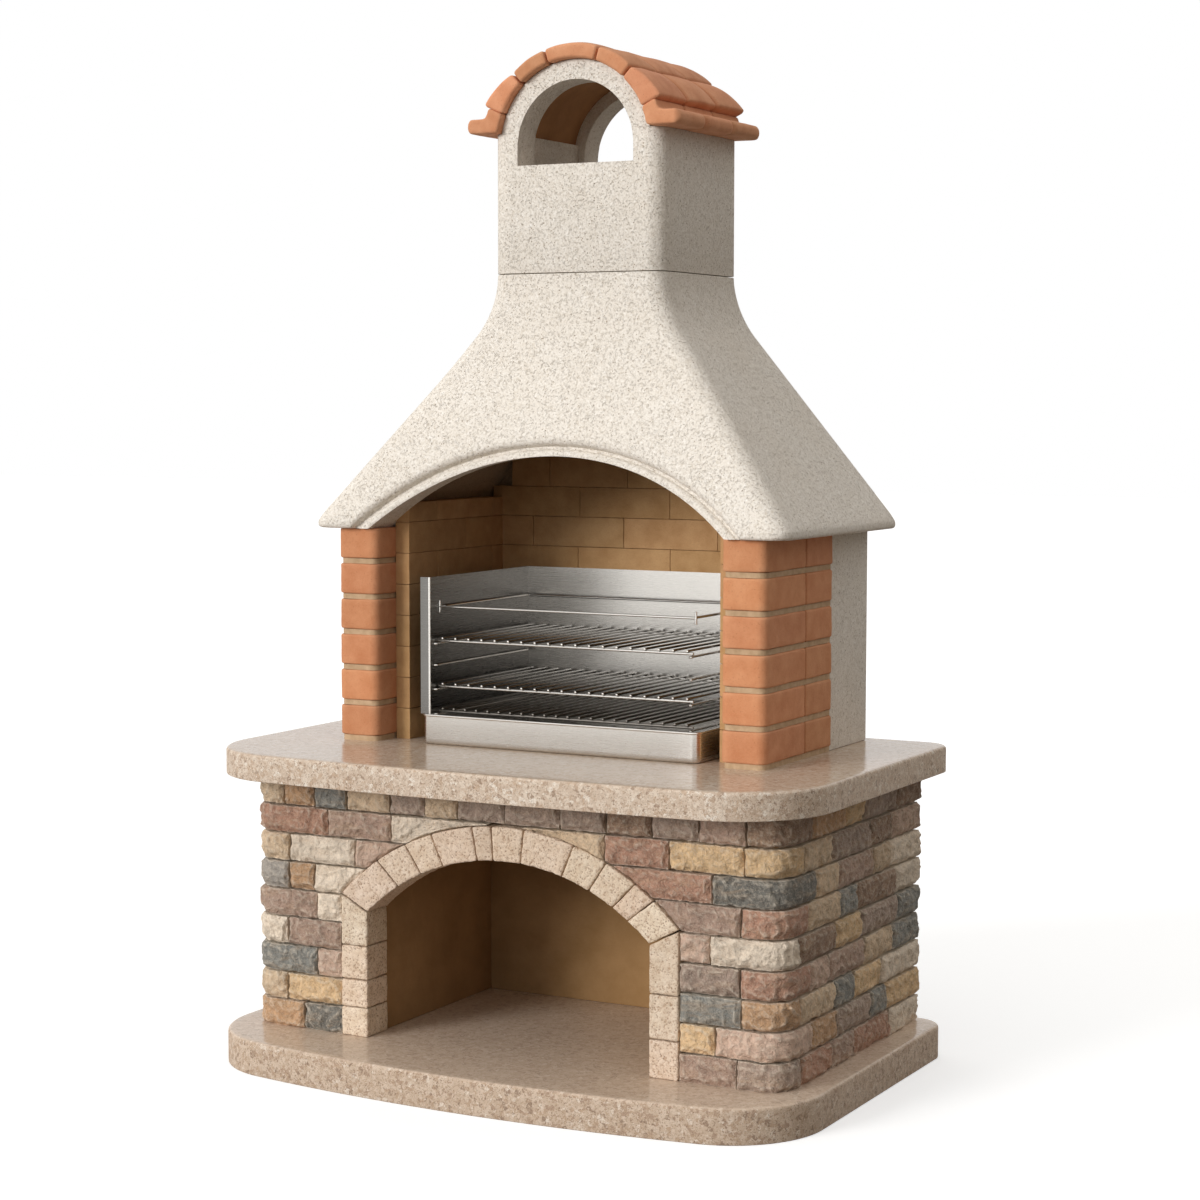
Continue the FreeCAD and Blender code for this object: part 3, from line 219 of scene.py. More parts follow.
def loft(rings):
    """Quads between rings of points, with a flat cap on the first and the last."""
    count = len(rings[0])
    faces = []
    for level in range(len(rings) - 1):
        low, high = level * count, (level + 1) * count
        for i in range(count):
            j = (i + 1) % count
            faces.append([low + i, low + j, high + j, high + i])
    last = (len(rings) - 1) * count
    faces.append(list(range(count))[::-1])
    faces.append([last + i for i in range(count)])
    return np.concatenate(rings), faces


def arc(centre, radius, start, end, steps):
    """Points on an arc between two angles in degrees."""
    angles = np.radians(np.linspace(start, end, steps + 1))
    return np.column_stack((centre[0] + radius * np.cos(angles), centre[1] + radius * np.sin(angles)))


def divided(points, spacing):
    """A closed line with long sides divided into equal steps."""
    result = []
    for start, end in zip(points, np.roll(points, -1, axis=0)):
        length = np.linalg.norm(end - start)
        if length > WELD:
            steps = max(int(round(length / spacing)), 1)
            result += [start + (end - start) * step / steps for step in range(steps)]
    return np.array(result)


def rounded_outline(low, high, front_radius, rear_radius, spacing, steps=6):
    """A rectangle seen from above, anticlockwise, with round corners."""
    (x0, y0), (x1, y1) = low[:2], high[:2]
    f, r = front_radius, rear_radius
    corners = [
        arc((x0 + f, y0 + f), f, 180, 270, steps),
        arc((x1 - f, y0 + f), f, 270, 360, steps),
        arc((x1 - r, y1 - r), r, 0, 90, steps),
        arc((x0 + r, y1 - r), r, 90, 180, steps),
    ]
    return divided(np.concatenate(corners), spacing)


def units(vectors):
    return vectors / np.linalg.norm(vectors, axis=1)[:, None]


def inset(outline, amount):
    """A closed anticlockwise outline moved inwards."""
    ahead = units(np.roll(outline, -1, axis=0) - outline)
    behind = units(outline - np.roll(outline, 1, axis=0))
    along = units(ahead + behind)
    stretch = 1 / np.maximum((along * ahead).sum(axis=1), 0.5)
    return outline + np.column_stack((-along[:, 1], along[:, 0])) * (amount * stretch)[:, None]


def at_height(outline, z):
    return np.column_stack((outline, np.full(len(outline), z)))


def stacked(outline, profile):
    """A solid from pairs of a distance inwards from an outline and a height."""
    return loft([at_height(inset(outline, inward), z) for inward, z in profile])


def rectangle(half, near, far):
    return np.array([(-half, near), (half, near), (half, far), (-half, far)])


def upright(line, start, end):
    """A solid from a line of x and z that runs from one y to another."""
    return loft([np.column_stack((line[:, 0], np.full(len(line), y), line[:, 1])) for y in (start, end)])


# How far inside the outline a flat end's ring lies, in radii of its round edge
CAP_INSET = 3.0


def rounded_prism(outline, low, high, arris, steps=3, rows=1, foot=None):
    """A solid over an outline, with round edges at its bottom and top."""
    foot = foot or arris
    turns = np.radians(np.linspace(0, 90, steps + 1))
    eased = np.column_stack((1 - np.sin(turns), 1 - np.cos(turns)))
    flat = np.array([(CAP_INSET, 0.0)])
    bottom = [(inward, low + rise) for inward, rise in foot * np.concatenate((flat, eased))]
    top = [(inward, high - rise) for inward, rise in arris * np.concatenate((eased[::-1], flat))]
    sides = [(0.0, z) for z in np.linspace(low + foot, high - arris, rows + 1)[1:-1]]
    return stacked(outline, bottom + sides + top)


def grid_box(cuts):
    """Surface of a box as quads, cut at the given places along each axis."""
    places, faces = {}, []
    for axis in range(3):
        a, b = (axis + 1) % 3, (axis + 2) % 3
        for end in (0, len(cuts[axis]) - 1):
            for i, j in itertools.product(range(len(cuts[a]) - 1), range(len(cuts[b]) - 1)):
                corners = [(i, j), (i + 1, j), (i + 1, j + 1), (i, j + 1)]
                face = []
                for u, v in corners if end else corners[::-1]:
                    key = [end, end, end]
                    key[a], key[b] = u, v
                    face.append(places.setdefault(tuple(key), len(places)))
                faces.append(face)
    points = np.array([[cuts[axis][key[axis]] for axis in range(3)] for key in places])
    return points, faces


# Places of the rings on a round edge, in degrees
EDGE_TURNS = (45, 28, 13)


def rounded_block(half, radius, spacing):
    """A box about the origin with round edges and evenly spread quads."""
    half = np.asarray(half)
    turns = radius * np.tan(np.radians(EDGE_TURNS))
    cuts = []
    for core in half - radius:
        steps = max(int(round(2 * core / spacing)), 2)
        cuts.append(np.concatenate((-core - turns, np.linspace(-core, core, steps + 1), core + turns[::-1])))
    points, faces = grid_box(cuts)
    inner = np.clip(points, -(half - radius), half - radius)
    outward = points - inner
    return inner + radius * outward / np.linalg.norm(outward, axis=1)[:, None], faces


def block_between(low, high, radius, spacing):
    points, faces = rounded_block((high - low) / 2, radius, spacing)
    return points + (low + high) / 2, faces


# Share of a bar's radius near its tip, and how far from the tip, in radii
TIP = ((0.5, 0.0), (0.85, 0.15), (1.0, 0.5))


def directions(path):
    """The way ahead at each place of a path."""
    steps = units(np.diff(path, axis=0))
    return units(np.concatenate((steps[:1], steps[:-1] + steps[1:], steps[-1:])))


def tube(path, radius, sides=12):
    """A round bar along a path, with rounded tips."""
    path = np.asarray(path, float)
    along = directions(path)
    stations = [(path[0] + along[0] * radius * back, along[0], share) for share, back in TIP]
    stations += [(place, ahead, 1.0) for place, ahead in zip(path[1:-1], along[1:-1])]
    stations += [(path[-1] - along[-1] * radius * back, along[-1], share) for share, back in TIP[::-1]]
    reference = np.array((0.0, 0.0, 1.0)) if abs(along[0][2]) < 0.9 else np.array((0.0, 1.0, 0.0))
    turns = np.linspace(0, 2 * math.pi, sides, endpoint=False)
    rings = []
    for place, ahead, share in stations:
        across = np.cross(reference, ahead)
        across /= np.linalg.norm(across)
        up = np.cross(ahead, across)
        rings.append(place + radius * share * (np.outer(np.cos(turns), across) + np.outer(np.sin(turns), up)))
    return loft(rings)
def bar(start, end, radius):
    """A straight round bar with a ring in its middle."""
    return tube(np.linspace(start, end, 3), radius)
def bent_path(corners, bend, steps=5):
    """A path through corners, each turned by a short arc."""
    corners = [np.asarray(corner, float) for corner in corners]
    path = [corners[0]]
    for before, corner, after in zip(corners, corners[1:], corners[2:]):
        start = corner + (before - corner) / np.linalg.norm(before - corner) * bend
        end = corner + (after - corner) / np.linalg.norm(after - corner) * bend
        for share in np.linspace(0, 1, steps + 1):
            path.append(start * (1 - share) ** 2 + corner * 2 * share * (1 - share) + end * share ** 2)
    return path + [corners[-1]]


# Materials: each is a short recipe of nodes in the object's own coordinates

def srgb(*levels):
    """A colour from its levels on a screen, 0 to 255."""
    shares = [level / 255 for level in levels]
    linear = [s / 12.92 if s <= 0.04045 else ((s + 0.055) / 1.055) ** 2.4 for s in shares]
    return (*linear, 1.0)


class Nodes:
    """The node tree of a material or a world, and short ways to add to it."""

    def __init__(self, owner):
        owner.use_nodes = True
        self.tree = owner.node_tree

    def fill(self, socket, value):
        """Leads another node's output to a socket, or sets the socket to a value."""
        if isinstance(value, bpy.types.NodeSocket):
            self.tree.links.new(value, socket)
        else:
            socket.default_value = value

    def add(self, kind, inputs=None, **settings):
        node = self.tree.nodes.new("ShaderNode" + kind)
        for name, value in settings.items():
            setattr(node, name, value)
        for name, value in (inputs or {}).items():
            self.fill(node.inputs[name], value)
        return node

    def math(self, operation, first, second):
        return self.add("Math", {0: first, 1: second}, operation=operation).outputs["Value"]

    def ramp(self, value, *stops, constant=False):
        """Colours, or grey levels, spread over a value."""
        node = self.add("ValToRGB", {"Fac": value})
        node.color_ramp.interpolation = "CONSTANT" if constant else "LINEAR"
        points = node.color_ramp.elements
        while len(points) < len(stops):
            points.new(0.5)
        for point, (position, colour) in zip(points, stops):
            point.position = position
            point.color = colour if isinstance(colour, tuple) else (colour, colour, colour, 1.0)
        return node.outputs["Color"]


class Recipe(Nodes):
    """A new material with a main shader."""

    def __init__(self, name, **settings):
        self.material = bpy.data.materials.new(name)
        super().__init__(self.material)
        self.shader = self.tree.nodes["Principled BSDF"]
        self.place = self.add("TexCoord").outputs["Object"]
        for socket, value in settings.items():
            self.shader.inputs[socket.replace("_", " ")].default_value = value

    def link(self, value, socket):
        self.tree.links.new(value, self.shader.inputs[socket])

    def stretched(self, scale):
        return self.add("Mapping", {"Vector": self.place, "Scale": scale}).outputs["Vector"]

    def noise(self, scale, detail=3.0, roughness=0.55, distortion=0.0, place=None):
        settings = {"Vector": place or self.place, "Scale": scale, "Detail": detail}
        settings |= {"Roughness": roughness, "Distortion": distortion}
        return self.add("TexNoise", settings).outputs["Fac"]

    def cells(self, scale, output="Distance"):
        return self.add("TexVoronoi", {"Vector": self.place, "Scale": scale}).outputs[output]

    def edges(self):
        return self.add("NewGeometry").outputs["Pointiness"]

    def mix(self, share, first, second, blend="MIX"):
        node = self.add("Mix", data_type="RGBA", blend_type=blend, clamp_factor=True)
        sockets = [node.inputs["Factor"]] + [s for s in node.inputs if s.type == "RGBA"]
        for socket, value in zip(sockets, (share, first, second)):
            self.fill(socket, value)
        return next(s for s in node.outputs if s.type == "RGBA")

    def times(self, first, second):
        return self.mix(1.0, first, second, "MULTIPLY")

    def levels(self, value, low, high, from_low=0.0, from_high=1.0):
        """A value spread from one range to another."""
        inputs = {"Value": value, "From Min": from_low, "From Max": from_high, "To Min": low, "To Max": high}
        return self.add("MapRange", inputs).outputs["Result"]

    def stained(self, colour, value, share, low, high, stain):
        """A colour with a stain whose share grows from 0 over a range of a value."""
        return self.mix(self.levels(value, 0.0, share, low, high), colour, stain)

    def tone(self):
        return self.add("Attribute", attribute_name="tone").outputs["Color"]

    def finish(self, colour, *layers):
        """The material in a colour, with fine relief from pairs of a height and its depth in metres."""
        self.link(colour, "Base Color")
        normal = None
        for height, depth in layers:
            inputs = {"Height": height, "Distance": depth, "Strength": 1.0}
            if normal:
                inputs["Normal"] = normal
            normal = self.add("Bump", inputs).outputs["Normal"]
        self.link(normal, "Normal")
        return self.material


def cast_concrete(name):
    """Off-white cast concrete: worm-like grain, small pores and a few brown specks."""
    r = Recipe(name, Roughness=0.86)
    grain = r.noise(125, 3.0, 0.55, 1.8)
    fine = r.noise(420, 2.0)
    colour = r.ramp(grain, (0.33, srgb(214, 205, 192)), (0.43, srgb(231, 224, 214)),
                    (0.58, srgb(239, 233, 224)), (0.72, srgb(249, 245, 239)))
    groove = r.ramp(r.noise(230, 2.0, 0.5, 2.0), (0.46, 0.0), (0.49, 0.75), (0.52, 0.0))
    groove = r.math("MULTIPLY", groove, r.levels(r.noise(190, 1.0), 0.0, 1.0, 0.5, 0.58))
    colour = r.mix(groove, colour, srgb(156, 138, 116))
    colour = r.stained(colour, fine, 0.4, 0.42, 0.72, srgb(212, 201, 185))
    colour = r.stained(colour, r.noise(7), 0.2, 0.4, 0.7, srgb(226, 214, 197))
    speck = r.levels(r.cells(150), 0.85, 0.0, 0.12, 0.26)
    chosen = r.ramp(r.cells(150, "Color"), (0.0, 0.0), (0.7, 0.0), (0.74, 1.0), constant=True)
    colour = r.mix(r.math("MULTIPLY", speck, chosen), colour, srgb(140, 118, 94))
    ridge = r.math("SUBTRACT", 1.0, groove)
    return r.finish(r.times(colour, r.tone()), (grain, 1.0 * MM), (fine, 0.5 * MM), (ridge, 0.8 * MM))


def terracotta(name, pale, deep, relief):
    """Fired clay: cloudy tone, sand grains and paler worn edges."""
    r = Recipe(name, Roughness=0.88)
    sand = r.noise(900, 2.0, 0.6)
    colour = r.times(r.ramp(r.noise(24, 4.0, 0.6), (0.3, deep), (0.7, pale)), r.tone())
    colour = r.stained(colour, sand, 0.35, 0.52, 0.78, srgb(226, 178, 140))
    colour = r.stained(colour, r.noise(300, 2.0), 0.45, 0.62, 0.74, srgb(150, 92, 62))
    colour = r.stained(colour, r.edges(), 0.35, 0.52, 0.6, srgb(230, 184, 148))
    return r.finish(colour, (r.noise(160, 4.0, 0.6), relief), (sand, 0.3 * MM))


def terrazzo(name, ground, edge, painted_top_shading, crumbs):
    """Polished stone chips in cement: glossy above, coarser and matt on the edge, with a colour of painted
    light and shade mixed into the top.
    """
    r = Recipe(name, Specular_IOR_Level=0.22)
    facing = r.add("SeparateXYZ", {"Vector": r.add("NewGeometry").outputs["Normal"]}).outputs["Z"]
    top = r.levels(facing, 0.0, 1.0, 0.55, 0.9)
    chips = []
    for scale, channel in ((210, "Red"), (105, "Green")):
        pick = r.add("SeparateColor", {"Color": r.cells(scale, "Color")}).outputs[channel]
        chips.append(r.ramp(pick, *crumbs, constant=True))
    colour = r.mix(r.ramp(r.noise(240), (0.42, 0.0), (0.55, 1.0)), *chips)
    colour = r.mix(0.34, colour, r.ramp(r.noise(30, 4.0), (0.3, edge), (0.7, ground)))
    # Painted light and shade: the top is mixed towards a colour that is darker on the worktop and paler on
    # the base
    colour = r.mix(r.math("MULTIPLY", top, 0.4), colour, painted_top_shading)
    grit = r.levels(r.noise(420, 2.0), 0.0, 0.7, 0.55, 0.7)
    grit = r.math("MULTIPLY", grit, r.math("SUBTRACT", 1.0, top))
    colour = r.mix(grit, colour, srgb(118, 94, 74))
    r.link(r.math("ADD", r.levels(top, 0.62, 0.17), r.levels(r.noise(60), -0.04, 0.06)), "Roughness")
    relief = r.math("MULTIPLY", r.noise(300), r.levels(top, 1.0, 0.04))
    return r.finish(colour, (relief, 0.9 * MM))


def split_stone(name):
    """Split stone: each stone's own tone, with veins, painted shade along thin crease lines, bedding bands
    and paler broken edges.
    """
    r = Recipe(name, Roughness=0.88)
    cloud = r.noise(34, 5.0, 0.62)
    band = r.noise(16, 4.0, 0.6, 0.8, r.stretched((1.0, 1.0, 4.0)))
    fine = r.noise(320, 3.0, 0.6)
    veins = r.noise(60, 4.0, 0.6, 1.2)
    mottle = r.noise(130, 4.0, 0.65)
    colour = r.times(r.tone(), r.ramp(cloud, (0.28, 0.7), (0.5, 1.0), (0.75, 1.14)))
    colour = r.stained(colour, band, 0.35, 0.5, 0.72, srgb(196, 166, 134))
    colour = r.times(colour, r.ramp(mottle, (0.32, 0.84), (0.5, 1.0), (0.7, 1.12)))
    # Painted shade: thin crease lines darken the colour
    crease_shade = r.ramp(veins, (0.45, 0.0), (0.485, 0.45), (0.52, 0.0))
    colour = r.mix(crease_shade, colour, r.times(colour, (0.5, 0.46, 0.42, 1.0)))
    colour = r.stained(colour, fine, 0.35, 0.5, 0.72, srgb(228, 214, 196))
    colour = r.stained(colour, r.edges(), 0.5, 0.51, 0.57, srgb(236, 224, 206))
    return r.finish(colour, (veins, 7.0 * MM), (mottle, 4.0 * MM), (fine, 0.8 * MM))


def arch_sandstone(name):
    """Cream sandstone with pits and pinkish grains."""
    r = Recipe(name, Roughness=0.9)
    worms = r.noise(120, 3.0, 0.55, 1.6)
    pits = r.cells(140)
    colour = r.ramp(r.noise(40, 4.0), (0.3, srgb(219, 198, 174)), (0.7, srgb(238, 221, 201)))
    colour = r.times(colour, r.tone())
    colour = r.stained(colour, r.noise(420, 3.0, 0.6), 0.5, 0.5, 0.72, srgb(190, 150, 124))
    colour = r.mix(r.levels(pits, 0.7, 0.0, 0.12, 0.32), colour, srgb(132, 100, 78))
    colour = r.mix(r.levels(worms, 0.6, 0.0, 0.36, 0.48), colour, srgb(160, 128, 102))
    return r.finish(colour, (worms, 2.2 * MM), (pits, 1.2 * MM))


def rendered_wall(name, pale, deep, scale, relief):
    """Trowelled or cast wall: cloudy tone with fine sand."""
    r = Recipe(name, Roughness=0.9)
    sand = r.noise(480, 3.0, 0.6)
    colour = r.ramp(r.noise(scale, 5.0, 0.6), (0.3, deep), (0.7, pale))
    colour = r.stained(colour, sand, 0.4, 0.5, 0.75, deep)
    return r.finish(colour, (r.noise(90, 4.0), relief), (sand, 0.4 * MM))


def firebrick(name):
    """Fireclay brick: sandy tan with each brick's own tone."""
    r = Recipe(name, Roughness=0.9)
    sand = r.noise(520, 3.0, 0.6)
    colour = r.ramp(r.noise(22, 4.0, 0.6), (0.3, srgb(176, 136, 92)), (0.7, srgb(196, 157, 112)))
    colour = r.stained(r.times(colour, r.tone()), sand, 0.4, 0.52, 0.75, srgb(150, 110, 70))
    return r.finish(colour, (r.noise(150, 4.0), 0.8 * MM), (sand, 0.4 * MM))


def brushed_steel(name, colour, roughness, scale):
    """Stainless steel with fine brushing and faint smears."""
    r = Recipe(name, Metallic=1.0)
    streaks = r.noise(1.0, 3.0, 0.6, 0.0, r.stretched(scale))
    dim = tuple(0.86 * level for level in colour[:3]) + (1.0,)
    matt = r.levels(streaks, roughness - 0.06, roughness + 0.08)
    r.link(r.math("ADD", matt, r.levels(r.noise(9), -0.03, 0.05)), "Roughness")
    colour = r.ramp(streaks, (0.2, dim), (0.8, colour))
    return r.finish(r.times(colour, r.tone()), (streaks, 0.03 * MM))


# Stretch of the brushing marks on sheet and on wire
SHEET_BRUSHING = (12.0, 12.0, 1400.0)
WIRE_BRUSHING = (300.0, 60.0, 300.0)
WORKTOP_CRUMBS = (
    (0.0, srgb(176, 150, 128)), (0.12, srgb(206, 186, 166)), (0.5, srgb(226, 211, 194)),
    (0.78, srgb(190, 162, 136)), (0.9, srgb(134, 106, 84)), (0.96, srgb(242, 234, 222)),
)
BASE_CRUMBS = (
    (0.0, srgb(158, 130, 108)), (0.14, srgb(194, 172, 150)), (0.5, srgb(212, 193, 174)),
    (0.78, srgb(174, 146, 120)), (0.9, srgb(118, 92, 72)), (0.96, srgb(232, 220, 206)),
)
RECIPES = {
    "cast_concrete": (cast_concrete,),
    "terracotta_brick": (terracotta, srgb(206, 146, 107), srgb(190, 126, 87), 0.9 * MM),
    "terracotta_tile": (terracotta, srgb(217, 157, 119), srgb(199, 134, 96), 0.8 * MM),
    # Third colour of each terrazzo is painted on its top: painted shade on the worktop, painted light on the
    # base
    "worktop_terrazzo": (
        terrazzo, srgb(212, 196, 180), srgb(202, 184, 166), srgb(176, 156, 136), WORKTOP_CRUMBS),
    "base_terrazzo": (terrazzo, srgb(212, 191, 171), srgb(200, 179, 159), srgb(226, 207, 188), BASE_CRUMBS),
    "split_stone": (split_stone,),
    "arch_sandstone": (arch_sandstone,),
    "niche_concrete": (rendered_wall, srgb(168, 133, 92), srgb(142, 109, 70), 9, 0.8 * MM),
    "vault_clay": (rendered_wall, srgb(182, 132, 86), srgb(154, 108, 66), 14, 0.8 * MM),
    "mortar": (rendered_wall, srgb(200, 172, 140), srgb(174, 146, 114), 60, 1.2 * MM),
    "firebrick": (firebrick,),
    "stainless_sheet": (brushed_steel, srgb(220, 216, 210), 0.25, SHEET_BRUSHING),
    "stainless_wire": (brushed_steel, srgb(216, 212, 206), 0.2, WIRE_BRUSHING),
    "charcoal_steel": (brushed_steel, srgb(156, 150, 142), 0.36, WIRE_BRUSHING),
}
MATERIALS = {name: recipe(name, *settings) for name, (recipe, *settings) in RECIPES.items()}


# Pieces

SMOOTH_ANGLE = math.radians(38)
SIDES = (("left", -1), ("right", 1))


def piece(block, nodes, slot, tone=None, tone_of="POINT"):
    """An object that stands for CAD nodes, rides on their body and has one material. A tone for each point
    or face is multiplied into its colour."""
    thing = new_object(nodes[0] + "_finish", *block)
    thing.data.shade_smooth()
    thing.data.set_sharp_from_angle(angle=SMOOTH_ANGLE)
    if tone is None:
        tone = np.ones((len(thing.data.vertices), 3))
    layer = thing.data.attributes.new("tone", "FLOAT_COLOR", tone_of)
    layer.data.foreach_set("color", np.column_stack((tone, np.ones(len(tone)))).ravel())
    thing.data.materials.append(MATERIALS[slot])
    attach(thing, frame["nodes"][nodes[0]]["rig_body"])
    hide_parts(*nodes)


def face_centres(block):
    points, faces = block
    return np.array([points[face].mean(axis=0) for face in faces])


def grey_tone(levels):
    return np.repeat(levels[:, None], 3, axis=1)


def toned_piece(blocks, tones, nodes, slot):
    """A piece of several blocks, each with its own tone."""
    tone = np.concatenate([np.tile(colour, (len(points), 1)) for colour, (points, _) in zip(tones, blocks)])
    piece(join(blocks), nodes, slot, tone)


def varied_piece(blocks, node, slot, rng, spread):
    """A piece of several blocks that differ in brightness, and less in warmth."""
    tones = [1.0 + rng.normal(0, spread) + rng.normal(0, spread / 4, 3) for _ in blocks]
    toned_piece(blocks, tones, [node], slot)


# Slabs: bowed front, round corners, eased arris

SLAB_FRONT_CORNER = 0.2
SLAB_REAR_CORNER = 0.06
SLAB_SPACING = 0.04
SLAB_ARRIS = 7 * MM
SLAB_FOOT = 2 * MM
# Radius of the bow and material of each slab
SLABS = {"base_slab": (3.2, "base_terrazzo"), "worktop_slab": (7.5, "worktop_terrazzo")}


def slab_outline(low, high, bow):
    half = high[0]
    middle = low[1] + bow
    corner, rear = SLAB_FRONT_CORNER, SLAB_REAR_CORNER
    turn_x = half - corner
    turn_y = middle - math.sqrt((bow - corner) ** 2 - turn_x ** 2)
    meet = math.degrees(math.atan2(turn_y - middle, turn_x))
    arcs = [
        arc((0, middle), bow, -180 - meet, meet, 48),
        arc((turn_x, turn_y), corner, meet, 0, 20),
        arc((half - rear, high[1] - rear), rear, 0, 90, 12),
        arc((rear - half, high[1] - rear), rear, 90, 180, 12),
        arc((-turn_x, turn_y), corner, 180, 180 - meet, 20),
    ]
    return divided(np.concatenate(arcs), SLAB_SPACING)


def make_slabs():
    for node, (bow, slot) in SLABS.items():
        low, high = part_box(node)
        outline = slab_outline(low, high, bow)
        piece(rounded_prism(outline, low[2], high[2], SLAB_ARRIS, 5, 3, SLAB_FOOT), [node], slot)


# Cores, niche, lintel and chamber walls as they are in the solids, with softened edges

FLAT_ANGLE = math.radians(1)
SHARP_ANGLE = math.radians(25)
# Nodes, width of their softened edges and material
SOFTENED = (
    (("left_base_core", "right_base_core", "niche_back_panel", "front_lintel"), 3 * MM, "niche_concrete"),
    (("left_chamber_wall", "right_chamber_wall", "rear_chamber_wall"), 4 * MM, "cast_concrete"),
)


def softened(node, width):
    """A CAD node's mesh with flat faces joined and sharp edges eased."""
    build = welded(node)
    bmesh.ops.dissolve_limit(build, angle_limit=FLAT_ANGLE, verts=build.verts, edges=build.edges)
    sharp = [edge for edge in build.edges if edge.is_manifold and edge.calc_face_angle() > SHARP_ANGLE]
    bmesh.ops.bevel(build, geom=sharp, offset=width, segments=2, profile=0.5, affect="EDGES")
    return unloaded(build)


def make_cores():
    for nodes, width, slot in SOFTENED:
        for node in nodes:
            piece(softened(node, width), [node], slot)
    for slot in frame["nodes"]["roof_vault"].material_slots:
        slot.material = MATERIALS["vault_clay"]


# Arch stones: blocks with soft edges and a pitted skin

ARCH_VOXEL = 3 * MM
ARCH_WAVES = ((0.9 * MM, 28 * MM), (0.5 * MM, 9 * MM))
PIT_SPACING = 11 * MM
PIT_DEPTH = 5 * MM
PIT_FLOOR = 0.38


def remeshed(island, voxel, rounds):
    """A solid with small even quads and softened edges."""
    block = modified(island, "REMESH", mode="VOXEL", voxel_size=voxel)
    return modified(block, "SMOOTH", factor=1.0, iterations=rounds)


def pitted_block(island, seed):
    block = remeshed(island, ARCH_VOXEL, 2)
    pits = np.maximum(noise(block[0], PIT_SPACING, seed + 1) - PIT_FLOOR, 0)
    return pushed(block, waves(block[0], ARCH_WAVES, seed) - PIT_DEPTH * pits)


def make_arch():
    rng = np.random.default_rng(3)
    for node in ("arch_voussoirs", "left_jamb_blocks", "right_jamb_blocks"):
        blocks = [pitted_block(island, seed) for seed, island in enumerate(islands(node))]
        varied_piece(blocks, node, "arch_sandstone", rng, 0.035)


# Split stones: a face with a rough plateau and chipped edges on a plain block

TONES = {
    "cream": (240, 224, 204), "tan": (216, 191, 161), "yellow": (227, 194, 151), "orange": (194, 156, 121),
    "red": (182, 141, 120), "mauve": (174, 147, 131), "brown": (150, 124, 105), "slate": (137, 137, 132),
    "grey": (170, 163, 155), "pink": (206, 177, 158), "taupe": (172, 151, 137), "dark": (120, 118, 112),
}
# Tones of the front stones from the ground up, from left to right
FRONT_TONES = (
    "orange dark mauve taupe",
    "tan yellow yellow pink",
    "slate pink slate orange",
    "cream mauve taupe red",
    "mauve cream pink cream",
    "grey orange cream mauve red",
    "tan cream pink red dark",
    "red mauve cream tan red yellow yellow",
    "tan orange slate tan taupe tan taupe taupe taupe brown taupe mauve brown",
)
SIDE_TONES = "cream tan yellow brown tan pink taupe red mauve tan slate orange".split()
STONE_STEP = 3 * MM
FEWEST_STEPS = 8
EDGE_PULL = 0.08
SEED_STEP = 0.37
STONE_DEPTH = 31 * MM
BODY_CORNER = 60 * MM
CHIP_WIDTH = 8 * MM
CHIP_DROP = 6.5 * MM
FOOT_CHIP = 17 * MM
FOOT_DROP = 9 * MM
SWELL = 2.4 * MM
RIDGE = 9.0 * MM
FINE_RIDGE = 3.2 * MM
RIDGE_LEVEL = 0.3
STONE_GRAIN = 0.8 * MM
STONE_TILT = 2.2 * MM
DEEPEST = -6 * MM
HIGHEST = 4 * MM
WAVY_RIM = 6 * MM
RIM_WAVE = 1.2 * MM
EXTRADOS = 0.533
ARCH_JOINT = 2 * MM
ARCH_REACH = 88 * MM
X_AXIS = np.array((1.0, 0.0, 0.0))


def half_arch(levels):
    """Half the width that the arch and its joint take at each level."""
    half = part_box("right_jamb_blocks")[1][0] + ARCH_JOINT
    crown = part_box("arch_voussoirs")[1][2] + ARCH_JOINT
    radius = EXTRADOS + ARCH_JOINT
    rise = np.asarray(levels) - (crown - radius)
    return np.minimum(np.sqrt(np.maximum(radius ** 2 - rise ** 2, 0)), half)


def eased_steps(length):
    """Shares from 0 to 1, closer together at both ends."""
    count = max(int(round(length / STONE_STEP)), FEWEST_STEPS)
    even = np.linspace(0, 1, count + 1)
    return even - EDGE_PULL * np.sin(2 * math.pi * even)


